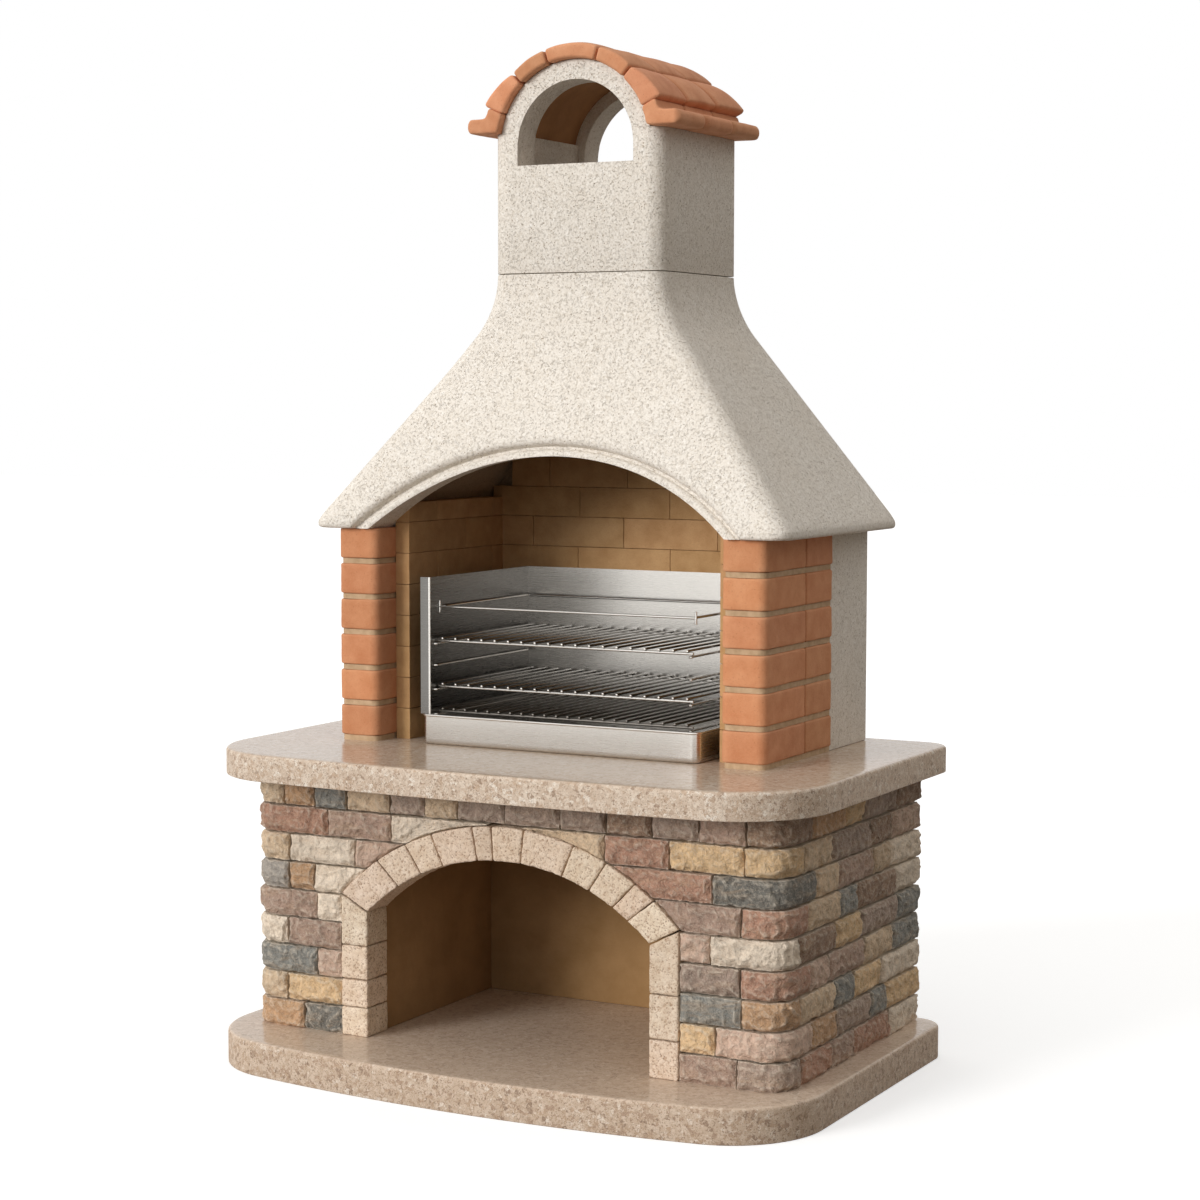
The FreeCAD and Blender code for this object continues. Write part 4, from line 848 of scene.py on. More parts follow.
def stone(path, start, end, low, high, seed):
    """A closed stone. path gives places and outward directions at distances along the face; start and end
    are functions of the level."""
    rng = np.random.default_rng(seed)
    tall = high - low
    ends = np.array([low, high])
    length = float(np.max(end(ends) - start(ends)))
    along, up = np.meshgrid(eased_steps(length), eased_steps(tall), indexing="ij")
    level = low + up * tall
    first = start(level)
    width = end(level) - first
    to_edge = np.minimum.reduce((along * width, (1 - along) * width, up * tall, (1 - up) * tall))
    place, outward = path(first + along * width)
    spot = np.concatenate((place, level[..., None]), axis=-1) + seed * SEED_STEP
    chip = CHIP_WIDTH * (1 + 0.8 * noise(spot, 22 * MM) + 0.5 * noise(spot, 10 * MM, 1))
    bevel = 1 - np.clip(to_edge / chip, 0, 1)
    drop = CHIP_DROP * (1 + 0.35 * noise(spot, 30 * MM, 2)) * bevel
    ground = spot * (1, 1, 0)
    foot = FOOT_CHIP * (0.7 + 0.9 * noise(ground, 60 * MM, 8) + 0.5 * noise(ground, 18 * MM, 9))
    broken = np.clip(1 - up * tall / np.maximum(foot, MM), 0, 1)
    drop = np.maximum(drop, FOOT_DROP * broken)
    lumps = SWELL * noise(spot, 42 * MM, 3) + STONE_GRAIN * noise(spot, 7 * MM, 6)
    lumps += RIDGE * (RIDGE_LEVEL - np.abs(noise(spot, 24 * MM, 4)))
    lumps += FINE_RIDGE * (RIDGE_LEVEL - np.abs(noise(spot, 11 * MM, 5)))
    tilt = rng.normal(0, STONE_TILT) * (along - 0.5) + rng.normal(0, STONE_TILT) * (up - 0.5)
    height = np.clip(lumps + tilt, DEEPEST, HIGHEST) - drop
    rim = np.clip(1 - to_edge / WAVY_RIM, 0, 1)
    level = (level + rim * RIM_WAVE * noise(spot, 16 * MM, 7))[..., None]
    face = np.concatenate((place + outward * height[..., None], level), axis=-1)
    back = np.concatenate((place - outward * STONE_DEPTH, level), axis=-1)
    return loft(np.concatenate((back[:, :1], back[:, -1:], face[:, ::-1]), axis=1))


def fixed(value):
    """The same distance at every level."""
    return lambda level: np.full_like(level, value)


def arch_side(edge, sign):
    """The side of a front stone at an edge, or further out at the arch, on the left or the right."""
    return lambda level: sign * np.maximum(edge, half_arch(level))


def course(high):
    """A stone's course, told by the level of its top."""
    return round(float(high[2]), 3)


def straight_path(start, ahead):
    """A path along a line, with its outward side on the right."""
    ahead = np.array(ahead, float)
    right = np.array((ahead[1], -ahead[0]))

    def path(distance):
        place = np.array(start) + distance[..., None] * ahead
        return place, np.broadcast_to(right, place.shape)

    return path


def corner_path(sign, half, front, front_leg, side_leg):
    """A path round a front corner of the base, and its length."""
    radius = BODY_CORNER
    run = front_leg - radius
    turn = radius * math.pi / 2
    total = run + turn + side_leg - radius

    def path(distance):
        s = distance if sign > 0 else total - distance
        angle = np.clip((s - run) / radius, 0, math.pi / 2)
        beyond = np.maximum(s - run - turn, 0)
        x = half - front_leg + np.minimum(s, run) + radius * np.sin(angle)
        y = front + radius * (1 - np.cos(angle)) + beyond
        outward = np.stack((sign * np.sin(angle), -np.cos(angle)), axis=-1)
        return np.stack((sign * x, y), axis=-1), outward

    return path, total


def make_stones():
    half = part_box("right_side_stones")[1][0]
    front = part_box("spandrel_stones")[0][1]
    path = straight_path((0.0, front), (1.0, 0.0))
    fronts = []
    for node in ("left_front_stones", "right_front_stones", "spandrel_stones"):
        for low, high in boxes(node):
            if low[0] < -ARCH_JOINT and high[0] > ARCH_JOINT:
                fronts.append((node, low, high * (0, 1, 1) - ARCH_JOINT * X_AXIS))
                fronts.append((node, low * (0, 1, 1) + ARCH_JOINT * X_AXIS, high))
            else:
                fronts.append((node, low, high))
    innermost = {}
    for _, low, high in fronts:
        row = (course(high), low[0] > 0)
        innermost[row] = min(innermost.get(row, 1.0), abs(low[0]), abs(high[0]))
    entries = []
    for node, low, high in fronts:
        on_right = low[0] > 0
        inner = min(abs(low[0]), abs(high[0]))
        meets_arch = inner == innermost[course(high), on_right] and half_arch(low[2]) > inner
        near = arch_side(inner - ARCH_REACH if meets_arch else inner, 1 if on_right else -1)
        ends = (near, fixed(high[0])) if on_right else (fixed(low[0]), near)
        entries.append((node, low, high, path, *ends))
    for side, sign in SIDES:
        node = f"{side}_corner_stones"
        for low, high in boxes(node):
            front_leg = half - (low[0] if sign > 0 else -high[0])
            path, total = corner_path(sign, half, front, front_leg, high[1] - front)
            entries.append((node, low, high, path, fixed(0.0), fixed(total)))
    courses = [course(entry[2]) for entry in entries]
    tone_of = {}
    for own_course, names in zip(sorted(set(courses)), FRONT_TONES):
        row = [i for i, other in enumerate(courses) if other == own_course]
        row.sort(key=lambda i: entries[i][1][0] + entries[i][2][0])
        tone_of.update(zip(row, names.split()))
    rng = np.random.default_rng(5)
    for side, sign in SIDES:
        node = f"{side}_side_stones"
        previous = None
        for low, high in boxes(node):
            path = straight_path((half, low[1]) if sign > 0 else (-half, high[1]), (0.0, sign))
            choices = [name for name in SIDE_TONES if name != previous]
            previous = choices[rng.integers(len(choices))]
            tone_of[len(entries)] = previous
            entries.append((node, low, high, path, fixed(0.0), fixed(high[1] - low[1])))
    for node in dict.fromkeys(entry[0] for entry in entries):
        blocks, tones = [], []
        for i, (owner, low, high, *shape) in enumerate(entries):
            if owner == node:
                blocks.append(stone(*shape, low[2], high[2], i))
                tones.append(np.array(srgb(*TONES[tone_of[i]])[:3]) * (1 + rng.normal(0, 0.05)))
        toned_piece(blocks, tones, [node], "split_stone")


# Pillars: fired bricks with round front corners on recessed mortar

BRICK_CORNER = 20 * MM
BRICK_ARRIS = 4.5 * MM
BRICK_SPACING = 9 * MM
BRICK_WAVES = ((0.9 * MM, 60 * MM), (0.45 * MM, 17 * MM))
BRICK_SINK = 0.5 * MM
BED_RECESS = 4 * MM
BED_ARRIS = 1 * MM
BED_SPACING = 8 * MM
BED_WAVES = ((0.8 * MM, 12 * MM),)
LEFT_SEED = 40


def brick(low, high, front_corner, seed):
    outline = rounded_outline(low, high, front_corner, BRICK_ARRIS, BRICK_SPACING)
    block = rounded_prism(outline, low[2], high[2], BRICK_ARRIS, steps=3, rows=7)
    return pushed(block, waves(block[0], BRICK_WAVES, seed) - BRICK_SINK)


def mortar_bed(low, high, front_corner, seed):
    outline = rounded_outline(low, high, front_corner, BED_ARRIS, BED_SPACING)
    block = loft([at_height(outline, z) for z in np.linspace(low[2], high[2], 5)])
    levels = block[0][:, 2]
    between = (levels > low[2] + WELD) & (levels < high[2] - WELD)
    return pushed(block, waves(block[0], BED_WAVES, seed) * between)


def make_pillars():
    rng = np.random.default_rng(8)
    for side, sign in SIDES:
        courses = [node for node in frame["nodes"] if node.startswith(f"{side}_pillar_course")]
        for number, node in enumerate(sorted(courses)):
            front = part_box(node)[0][1] + MM
            first_seed = 2 * number + (LEFT_SEED if sign < 0 else 0)
            blocks = []
            for seed, (low, high) in enumerate(boxes(node), first_seed):
                blocks.append(brick(low, high, BRICK_CORNER if low[1] < front else BRICK_ARRIS, seed))
            varied_piece(blocks, node, "terracotta_brick", rng, 0.045)
        node = f"{side}_pillar_mortar"
        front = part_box(node)[0][1] + MM
        beds = []
        for seed, (low, high) in enumerate(boxes(node)):
            corner = BRICK_CORNER - BED_RECESS if low[1] < front else BED_ARRIS
            beds.append(mortar_bed(low, high, corner, seed))
        piece(join(beds), [node], "mortar")


# Linings: fireclay bricks with eased edges

LINING_ARRIS = 0.8 * MM
LINING_SPACING = 22 * MM
LINING_WAVES = ((0.3 * MM, 40 * MM),)
LINING_SWELL = 0.6 * MM


def make_linings():
    rng = np.random.default_rng(13)
    for node in ("left_lining", "right_lining", "rear_lining"):
        blocks = []
        for seed, (low, high) in enumerate(boxes(node)):
            block = block_between(low, high, LINING_ARRIS, LINING_SPACING)
            blocks.append(pushed(block, waves(block[0], LINING_WAVES, seed) + LINING_SWELL))
        varied_piece(blocks, node, "firebrick", rng, 0.04)


# Hood: rings from the lip to the neck, a moulded arched mouth and the smoke chamber cut out

HOOD_FRONT = -0.139
HOOD_LIP = 18 * MM
SIDE_BLEND = 0.21
FRONT_BLEND = 0.64
REAR_BLEND = 0.23
HIP_ROUND = 40 * MM
REAR_ROUND = 11 * MM
MOUTH_HALF = 0.412
MOUTH_RISE = 0.155
MOUTH_ROUND = 12 * MM
MOUTH_GROOVE = 4 * MM
# Where the plain cut of the mouth starts and ends, how far it goes below the lip, and the moulding's core
MOUTH_CUT = (-0.25, 0.05)
MOUTH_BELOW = 0.05
MOULDING_AHEAD = 0.04
MOULDING_CORE = 0.1
# Height over which the lean of the front is taken
LEAN_RISE = 0.1
BEAD = 13 * MM
BEAD_DEPTH = 15 * MM
NOSE = 7 * MM
LIP_EASE = 1.6 * MM
LIP_FADE = 12 * MM
SEAM = 2 * MM
SEAM_DEPTH = 12 * MM
SEAM_ARRIS = 1 * MM
# Half width, front and rear of the flue and of the throat below it
FLUE = (0.15, 0.09, 0.309)
THROAT = (0.184, 0.085, 0.307)
THROAT_RISE = 0.352
LINING_JOINT = 0.3 * MM
LINING_CLEARANCE = 10 * MM
CUT_PAST = 20 * MM
# Tone of the painted shade on the faces of the hollow inside the hood
HOLLOW_SHADE = (0.5, 0.4, 0.3)


def flare(up, reach, blend, height):
    """How far a flared side stands out from the neck, at heights above the lip."""
    across, down = reach - blend, -height
    square = across ** 2 + down ** 2
    slope = math.sqrt(square - blend ** 2)
    meet_out = blend + blend * (blend * across + slope * down) / square
    meet_up = height - blend * (slope * across - blend * down) / square
    straight = reach + (meet_out - reach) * up / meet_up
    curve = blend - np.sqrt(np.maximum(blend ** 2 - (height - up) ** 2, 0))
    return np.where(up < meet_up, straight, curve)


def hood_shell():
    low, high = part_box("hood")
    neck_low, neck_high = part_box("chimney_stack")
    height = high[2] - low[2] - HOOD_LIP
    rings = []

    def ring(up, inward, z):
        half = neck_high[0] + flare(up, high[0] - neck_high[0], SIDE_BLEND, height) - inward
        front = neck_low[1] - flare(up, neck_low[1] - HOOD_FRONT, FRONT_BLEND, height) + inward
        rear = neck_high[1] + flare(up, high[1] - neck_high[1], REAR_BLEND, height) - inward
        outline = rounded_outline((-half, front), (half, rear), HIP_ROUND, REAR_ROUND, 1.0, 10)
        rings.append(at_height(outline, z))

    ring(0.0, CAP_INSET * NOSE, low[2])
    for turn in np.radians(np.linspace(0, 90, 6)):
        ring(0.0, NOSE * (1 - math.sin(turn)), low[2] + NOSE * (1 - math.cos(turn)))
    for share in np.linspace(0.15, 1, 6):
        ring(0.0, LIP_EASE * share ** 3, low[2] + NOSE + (HOOD_LIP - NOSE) * share)
    for up in height * np.linspace(0, 1, 64)[1:]:
        ring(up, LIP_EASE * max(1 - up / LIP_FADE, 0), low[2] + HOOD_LIP + up)
    rings[-1][:, 2] -= SEAM + SEAM_ARRIS
    ring(height, SEAM_ARRIS, high[2] - SEAM)
    ring(height, SEAM_DEPTH, high[2] - SEAM)
    ring(height, SEAM_DEPTH, high[2])
    return loft(rings)


def smoke_sections():
    """Level, half width, front and rear of the hollow inside the hood, from the chamber up to the flue."""
    low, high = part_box("hood")
    lining_low, lining_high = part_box("right_lining")
    rear_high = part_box("rear_lining")[1]
    half = lining_high[0]
    depth = (lining_low[1] - LINING_JOINT, rear_high[1])
    straight = lining_high[2] + LINING_CLEARANCE
    shoulder = rear_high[2] + LINING_CLEARANCE
    throat = low[2] + THROAT_RISE
    taper = (shoulder - straight) / (throat - straight)
    return (
        (low[2] - CUT_PAST, half, *depth),
        (straight, half, *depth),
        (shoulder, half + taper * (THROAT[0] - half), *depth),
        (throat, *THROAT),
        (high[2] + CUT_PAST, *FLUE),
    )


def hollow_shade_tone(block):
    """Painted shade: a darker tone on the faces of the hollow inside the hood."""
    centres = face_centres(block)
    levels, *limits = np.array(smoke_sections()).T
    half, near, far = (np.interp(centres[:, 2], levels, limit) for limit in limits)
    inside = (np.abs(centres[:, 0]) < half + MM) & (centres[:, 1] > near - MM) & (centres[:, 1] < far + MM)
    return np.where(inside[:, None], HOLLOW_SHADE, 1.0)


def turned(profile, middle, axis, across, steps):
    """A solid turned about an axis from pairs of radius and distance along the axis."""
    axis, across = np.array(axis), np.array(across)
    third = np.cross(axis, across)
    angles = np.linspace(0, 2 * math.pi, steps, endpoint=False)
    rings = []
    for radius, along in profile:
        circle = np.outer(np.cos(angles), across) + np.outer(np.sin(angles), third)
        rings.append(middle + axis * along + radius * circle)
    return loft(rings)


def mouth_cutters():
    """A plain arched cut through the front, and a moulding turned on the sloping front."""
    low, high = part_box("hood")
    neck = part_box("chimney_stack")[0][1]
    height = high[2] - low[2] - HOOD_LIP
    out_low, out_high = flare(np.array((0.0, LEAN_RISE)), neck - HOOD_FRONT, FRONT_BLEND, height)
    lean_up, lean_back = np.array((LEAN_RISE, out_low - out_high)) / math.hypot(LEAN_RISE, out_low - out_high)
    radius = (MOUTH_HALF ** 2 + MOUTH_RISE ** 2) / (2 * MOUTH_RISE)
    spread = math.degrees(math.asin(MOUTH_HALF / radius))
    line = arc((0.0, low[2] + MOUTH_RISE - radius), radius, 90 + spread, 90 - spread, 72)
    foot = low[2] - MOUTH_BELOW
    opening = upright(np.concatenate((line, [(MOUTH_HALF, foot), (-MOUTH_HALF, foot)])), *MOUTH_CUT)

    rise = MOUTH_RISE / lean_up
    slant = (MOUTH_HALF ** 2 + rise ** 2) / (2 * rise)
    crown = (MOUTH_RISE - HOOD_LIP) / lean_up - slant
    middle = np.array((0.0, HOOD_FRONT + crown * lean_back, low[2] + HOOD_LIP + crown * lean_up))
    shoulder = slant + 2 * BEAD + MOUTH_GROOVE
    profile = [(shoulder + MOUTH_ROUND, MOULDING_AHEAD), (shoulder + MOUTH_ROUND, 0.0)]
    for turn in np.radians(np.linspace(0, 90, 6)):
        profile.append((shoulder + MOUTH_ROUND * (1 - math.sin(turn)), MOUTH_ROUND * (math.cos(turn) - 1)))
    profile.append((shoulder, -BEAD_DEPTH - BEAD / 2))
    for turn in np.radians(np.linspace(30, 180, 11)):
        profile.append((slant + BEAD * (1 + math.cos(turn)), BEAD * (math.sin(turn) - 1) - BEAD_DEPTH))
    profile.append((MOULDING_CORE, profile[-1][1]))
    return opening, turned(profile[::-1], middle, (0.0, -lean_up, lean_back), X_AXIS, 360)


def make_hood():
    chamber = loft([at_height(rectangle(*section), z) for z, *section in smoke_sections()])
    block = carved(hood_shell(), [chamber, *mouth_cutters()])
    # The faces of the hollow inside the hood get a painted shade
    piece(block, ["hood"], "cast_concrete", hollow_shade_tone(block), "FACE")


# Chimney: the stack with its outlets, the two arches, and the roof tiles

OUTLET_RADIUS = 0.135
OUTLET_DROP = 0.032
OUTLET_PAST = 0.05
SILL_RISE = 0.221
STACK_ROUND = 40 * MM
STACK_ARRIS = 1 * MM


def polar_block(radii, angles, depth, radius, spacing, crown=0.0, lift=(0.0, 0.0)):
    """A block with round edges that is bent about the roof's axis; crown swells its outer face, and lift
    raises it at the start and at the end of the angles."""
    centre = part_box("chimney_stack")[1][2] - OUTLET_DROP
    (inner, outer), (start, end), (near, far) = radii, np.radians(angles), depth
    half = np.array(((end - start) * outer / 2, (far - near) / 2, (outer - inner) / 2))
    points, faces = rounded_block(half, radius, spacing)
    across, along, out = (points / half).T
    swell = crown * (1 - across ** 2) * (1 - along ** 2) * np.clip(out, 0, 1)
    angle = (start + end) / 2 - across * (end - start) / 2
    raised = (lift[0] * (1 + across) + lift[1] * (1 - across)) / 2 * np.clip((out + 1) / 2, 0, 1)
    distance = (inner + outer) / 2 + out * half[2] + swell + raised
    places = (distance * np.cos(angle), (near + far) / 2 + along * half[1], centre + distance * np.sin(angle))
    return np.column_stack(places), faces


def make_chimney():
    low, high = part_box("chimney_stack")
    outline = rounded_outline(low, high, STACK_ROUND, REAR_ROUND, 1.0, 10)
    shell = rounded_prism(outline, low[2], high[2], STACK_ARRIS, steps=2, rows=1)
    flue = loft([at_height(rectangle(*FLUE), z) for z in (low[2] - CUT_PAST, high[2] + CUT_PAST)])
    centre, sill = high[2] - OUTLET_DROP, low[2] + SILL_RISE
    head = arc((0.0, centre), OUTLET_RADIUS, 0, 180, 48)
    line = np.concatenate(([(-OUTLET_RADIUS, sill), (OUTLET_RADIUS, sill)], head))
    outlets = upright(line, high[1] + OUTLET_PAST, low[1] - OUTLET_PAST)
    piece(carved(shell, [flue, outlets]), ["chimney_stack"], "cast_concrete")
    for node in ("chimney_front_arch", "chimney_rear_arch"):
        arch_low, arch_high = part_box(node)
        outer = arch_high[2] - centre
        foot = math.degrees(math.asin(OUTLET_DROP / outer))
        depth = (arch_low[1], arch_high[1])
        ring = polar_block((OUTLET_RADIUS, outer), (foot, 180 - foot), depth, STACK_ARRIS, 9 * MM)
        levels = ring[0][:, 2]
        np.maximum(levels, high[2], out=levels)
        piece(ring, [node], "cast_concrete")


EAVE_ANGLE = 24.0
ROOF_TILES = (24, 24, 36, 24, 24)
TILE_GAP = 0.35
TILE_SEAT = 0.7
TILE_ROUND = 7 * MM
TILE_CROWN = 6 * MM
TILE_SPACING = 5 * MM
TILE_WAVES = ((0.7 * MM, 35 * MM),)
TILE_SINK = 0.5 * MM
TILE_BED = 0.3 * MM
EAVE_VOXEL = 3.5 * MM
EAVE_WAVES = ((0.6 * MM, 30 * MM),)
# How far the lowest tiles of the front, middle and rear row flare
TILE_FLARE = {"front": 19 * MM, "middle": 23 * MM, "rear": 27 * MM}


def make_roof():
    rng = np.random.default_rng(21)
    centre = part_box("chimney_stack")[1][2] - OUTLET_DROP
    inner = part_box("chimney_front_arch")[1][2] - centre + TILE_BED
    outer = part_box("middle_roof_tiles")[1][2] - centre
    for row, (name, flared) in enumerate(TILE_FLARE.items()):
        node = f"{name}_roof_tiles"
        low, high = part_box(node)
        tiles = []
        start = EAVE_ANGLE
        for number, width in enumerate(ROOF_TILES):
            gaps, lift = [TILE_GAP, TILE_GAP], [0.0, 0.0]
            if number in (0, len(ROOF_TILES) - 1):
                lower_end = min(number, 1)
                gaps[lower_end] = -TILE_SEAT
                lift[lower_end] = flared
            angles = (start + gaps[0], start + width - gaps[1])
            tile = polar_block((inner, outer - TILE_CROWN), angles, (low[1], high[1]), TILE_ROUND,
                               TILE_SPACING, TILE_CROWN, lift)
            tiles.append(pushed(tile, waves(tile[0], TILE_WAVES, number + 9 * row) - TILE_SINK))
            start += width
        varied_piece(tiles, node, "terracotta_tile", rng, 0.05)
    for side, _ in SIDES:
        node = f"{side}_eave_tiles"
        tiles = []
        for seed, island in enumerate(islands(node)):
            block = remeshed(island, EAVE_VOXEL, 7)
            tiles.append(pushed(block, waves(block[0], EAVE_WAVES, seed)))
        varied_piece(tiles, node, "terracotta_tile", rng, 0.05)


# Fire insert: pan, shields, rails and grates

PAN_CORNER = 20 * MM
PAN_REAR_CORNER = 8 * MM
PAN_SHEET = 2 * MM
PAN_RIM = 3 * MM
PAN_BEAD = 2.6 * MM
PAN_FOOT = 4 * MM
SHEET = 2 * MM
FOLD = 2.5 * MM
# Tone of a painted highlight on the pan's rim, the shields' folds and the grates' front tips
PAINTED_HIGHLIGHT = 1.2
# Tone of the painted shade on the side shields
PAINTED_SIDE_SHADE = 0.3


def make_pan():
    low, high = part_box("ash_pan")
    bottom, top = low[2], high[2]
    outline = rounded_outline(low, high, PAN_CORNER, PAN_REAR_CORNER, 0.05, 8)
    neck = top - 2 * PAN_BEAD
    floor = bottom + PAN_SHEET
    inner = PAN_RIM + PAN_SHEET
    profile = [(PAN_RIM + 10 * MM, bottom)]
    for turn in np.radians((0, 30, 60, 90)):
        profile.append((PAN_RIM + PAN_FOOT * (1 - math.sin(turn)), bottom + PAN_FOOT * (1 - math.cos(turn))))
    profile += [(PAN_RIM, bottom + 12 * MM), (PAN_RIM, top - 9 * MM), (PAN_RIM, neck)]
    for turn in np.radians(np.arange(-60, 181, 30)):
        profile.append((PAN_BEAD * (1 - math.cos(turn)), top - PAN_BEAD * (1 - math.sin(turn))))
    profile += [(inner, neck), (inner, bottom + 8 * MM), (inner + 1 * MM, bottom + PAN_FOOT)]
    profile += [(inner + 4 * MM, floor), (inner + 12 * MM, floor)]
    pan = stacked(outline, profile)
    # Painted highlight: the faces of the rolled rim are brighter
    tone = grey_tone(np.where(face_centres(pan)[:, 2] > neck, PAINTED_HIGHLIGHT, 1.0))
    piece(pan, ["ash_pan"], "stainless_sheet", tone, "FACE")


def bent_sheet(corners, low, high):
    """A sheet standing on edge along a line with folds."""
    path = np.array(bent_path([(x, y, 0.0) for x, y in corners], FOLD))[:, :2]
    along = directions(path)
    side = np.column_stack((along[:, 1], -along[:, 0])) * SHEET / 2
    outline = np.concatenate((path + side, (path - side)[::-1]))
    area = np.sum(outline[:, 0] * np.roll(outline[:, 1], -1) - outline[:, 1] * np.roll(outline[:, 0], -1))
    if area < 0:
        outline = outline[::-1]
    return loft([at_height(outline, z) for z in (low, low + MM, high - MM, high)])


def make_shields():
    pan_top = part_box("ash_pan")[1][2]
    for side, sign in SIDES:
        node = f"{side}_shield"
        low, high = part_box(node)
        inner, outer = (high[0], low[0]) if sign < 0 else (low[0], high[0])
        middle = inner + sign * SHEET / 2
        fold_y = low[1] + SHEET / 2
        half_way = (low[1] + high[1]) / 2
        upper = bent_sheet([(outer, fold_y), (middle, fold_y), (middle, high[1])], pan_top, high[2])
        lower = bent_sheet([(middle, low[1]), (middle, half_way), (middle, high[1])], low[2], pan_top)
        panel = join([upper, lower])
        from_fold = np.linalg.norm(face_centres(panel)[:, :2] - (middle, fold_y), axis=1)
        # Painted highlight along the fold, painted shade on the rest of each side shield
        tone = grey_tone(np.where(from_fold < FOLD + MM, PAINTED_HIGHLIGHT, PAINTED_SIDE_SHADE))
        piece(panel, [node], "stainless_sheet", tone, "FACE")
    low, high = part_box("rear_shield")
    middle = (low[1] + high[1]) / 2
    panel = bent_sheet([(low[0], middle), (0.0, middle), (high[0], middle)], low[2], high[2])
    piece(panel, ["rear_shield"], "stainless_sheet")


RAIL_BEND = 6 * MM
RAIL_END_MARGIN = 14 * MM


def wire(corners, z, radius):
    """A bent wire at one level."""
    return tube(bent_path([(x, y, z) for x, y in corners], RAIL_BEND), radius)


def make_rails():
    stub_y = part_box("right_shield")[0][1] + RAIL_END_MARGIN
    for side, sign in SIDES:
        node = f"{side}_rails"
        wires = []
        for low, high in boxes(node):
            radius = (high[2] - low[2]) / 2
            z = (low[2] + high[2]) / 2
            near, far = low[1] + radius, high[1] - radius
            panel, rail = (low[0], high[0] - radius) if sign < 0 else (high[0], low[0] + radius)
            wires.append(wire([(panel, near), (rail, near), (rail, far), (panel, far)], z, radius))
            if sign > 0:
                wires.append(wire([(rail, stub_y), (panel, stub_y)], z, radius))
        piece(join(wires), [node], "stainless_wire")
    low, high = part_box("top_rail")
    radius = (high[2] - low[2]) / 2
    z = (low[2] + high[2]) / 2
    left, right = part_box("left_rails")[1][0] - radius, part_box("right_rails")[0][0] + radius
    near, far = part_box("tie_rod")[1][1] - radius + RAIL_END_MARGIN, high[1] - radius
    corners = [(low[0], near), (left, near), (left, far), (right, far), (right, low[1])]
    wires = [wire(corners, z, radius), wire([(right, stub_y), (high[0], stub_y)], z, radius)]
    piece(join(wires), ["top_rail"], "stainless_wire")
    low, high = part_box("tie_rod")
    radius = (high[1] - low[1]) / 2
    y, z = (low[1] + high[1]) / 2, (low[2] + high[2]) / 2
    bars = [bar((low[0], y, z), (high[0], y, z), radius)]
    for x in (low[0] + radius, high[0] - radius):
        bars.append(bar((x, y, low[2]), (x, y, high[2]), radius))
    piece(join(bars), ["tie_rod"], "stainless_wire")


ROD_RADIUS = 3 * MM
BAR_RADIUS = 2.5 * MM
BAR_MARGIN = 12 * MM
ROD_SETBACK = 7 * MM
# Tone of the painted shade on the grates' bars
PAINTED_BAR_SHADE = 0.5
# Number of bars and material of each grate
GRATES = {
    "charcoal_grate": (22, "charcoal_steel"),
    "lower_grate": (19, "stainless_wire"),
    "upper_grate": (19, "stainless_wire"),
}


def make_grates():
    for node, (count, slot) in GRATES.items():
        low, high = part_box(node)
        rod_z, bar_z = low[2] + ROD_RADIUS, high[2] - BAR_RADIUS
        bars = []
        for y in (low[1] + ROD_SETBACK, high[1] - ROD_SETBACK):
            bars.append(bar((low[0], y, rod_z), (high[0], y, rod_z), ROD_RADIUS))
        for x in np.linspace(low[0] + BAR_MARGIN, high[0] - BAR_MARGIN, count):
            bars.append(bar((x, low[1], bar_z), (x, high[1], bar_z), BAR_RADIUS))
        grate = join(bars)
        centres = face_centres(grate)
        # Painted shade on the bars above the rods, and a painted highlight on the bars' front tips
        tone = np.where(centres[:, 2] > rod_z + ROD_RADIUS, PAINTED_BAR_SHADE, 1.0)
        tone[centres[:, 1] < low[1] + MM] = PAINTED_HIGHLIGHT
        piece(grate, [node], slot, grey_tone(tone), "FACE")


# Stage: pale floor, soft light and the camera

CAMERA_PLACE = (2.563, -4.633, 1.387)
CAMERA_TURN = (90 - 4.52, -0.07, 28.28)
CAMERA_LENS = 77.15
CAMERA_SENSOR = 36.0
# Direction, strength and spread in degrees of a key lamp for matt surfaces and of a weak soft box, and
# whether metal mirrors it
LAMPS = {
    "key": ((-0.5, -1.0, 0.27), 2.3, 25, False),
    "soft_box": ((-0.13, -1.0, 0.06), 0.34, 34, True),
}
WHITE = (1.0, 1.0, 1.0, 1.0)
SKY_OVERHEAD = (0.95, 0.935, 0.91, 1.0)
SKY_AROUND = (0.22, 0.185, 0.145, 1.0)
FLOOR_REACH = 30.0
FLOOR_PALE = (0.86, 0.86, 0.86, 1.0)
FLOOR_DIM = (0.13, 0.11, 0.09, 1.0)
FLOOR_GLOW = {"Color": (0.95, 0.975, 1.0, 1.0), "Strength": 0.42}


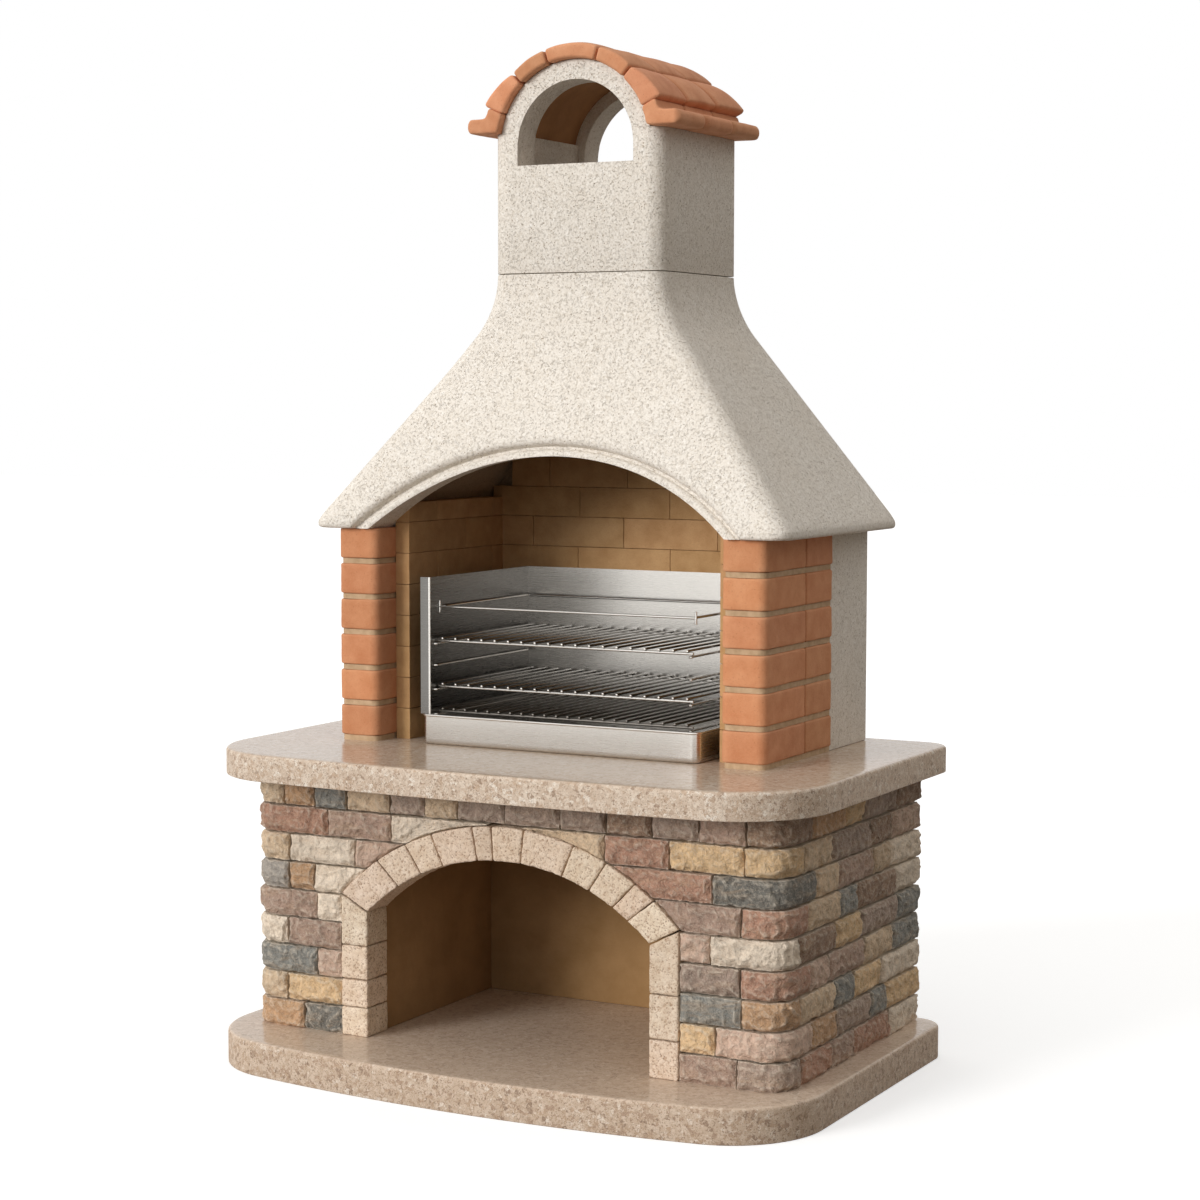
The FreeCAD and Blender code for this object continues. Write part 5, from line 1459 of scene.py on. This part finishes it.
class StageNodes(Nodes):
    """An empty tree for a floor or a sky that is seen in one way and lights the object in another."""

    def __init__(self, owner):
        super().__init__(owner)
        self.tree.nodes.clear()

    def shader(self, kind, inputs):
        return self.add(kind, inputs).outputs[0]

    def show(self, output, lighting, seen):
        """Leads the second shader to rays from the camera, or by way of a mirror or glass, and the first
        to light on the object."""
        rays = self.add("LightPath").outputs
        direct = self.math("MAXIMUM", rays["Is Camera Ray"], rays["Is Glossy Ray"])
        direct = self.math("MAXIMUM", direct, rays["Is Transmission Ray"])
        self.add(output, {"Surface": self.shader("MixShader", {"Fac": direct, 1: lighting, 2: seen})})


def make_floor():
    corners = at_height(rectangle(FLOOR_REACH, -FLOOR_REACH, FLOOR_REACH), 0.0)
    floor = new_object("floor", corners, [[0, 1, 2, 3]])
    material = bpy.data.materials.new("floor")
    nodes = StageNodes(material)
    pale = nodes.shader("BsdfDiffuse", {"Color": FLOOR_PALE})
    seen = nodes.shader("AddShader", {0: pale, 1: nodes.shader("Emission", FLOOR_GLOW)})
    nodes.show("OutputMaterial", nodes.shader("BsdfDiffuse", {"Color": FLOOR_DIM}), seen)
    floor.data.materials.append(material)


def make_world():
    world = bpy.data.worlds.new("studio")
    nodes = StageNodes(world)
    direction = nodes.add("TexCoord").outputs["Generated"]
    height = nodes.add("SeparateXYZ", {0: direction}).outputs["Z"]
    sky = nodes.ramp(height, (0.0, SKY_AROUND), (1.0, SKY_OVERHEAD))
    lighting = nodes.shader("Background", {"Color": sky})
    nodes.show("OutputWorld", lighting, nodes.shader("Background", {"Color": WHITE}))
    bpy.context.scene.world = world


def make_lights():
    for name, (direction, strength, spread, in_mirrors) in LAMPS.items():
        lamp = bpy.data.lights.new(name, "SUN")
        lamp.energy = strength
        lamp.angle = math.radians(spread)
        light = linked(name, lamp)
        light.rotation_euler = Vector(direction).to_track_quat("Z", "Y").to_euler()
        light.visible_glossy = in_mirrors


def make_camera():
    lens = bpy.data.cameras.new("camera")
    lens.lens = CAMERA_LENS
    lens.sensor_width = CAMERA_SENSOR
    camera = linked("camera", lens)
    camera.location = CAMERA_PLACE
    camera.rotation_euler = [math.radians(turn) for turn in CAMERA_TURN]
    bpy.context.scene.camera = camera


make_slabs()
make_cores()
make_arch()
make_stones()
make_pillars()
make_linings()
make_hood()
make_chimney()
make_roof()
make_pan()
make_shields()
make_rails()
make_grates()
make_floor()
make_world()
make_lights()
make_camera()
bpy.context.scene.view_settings.view_transform = "Standard"
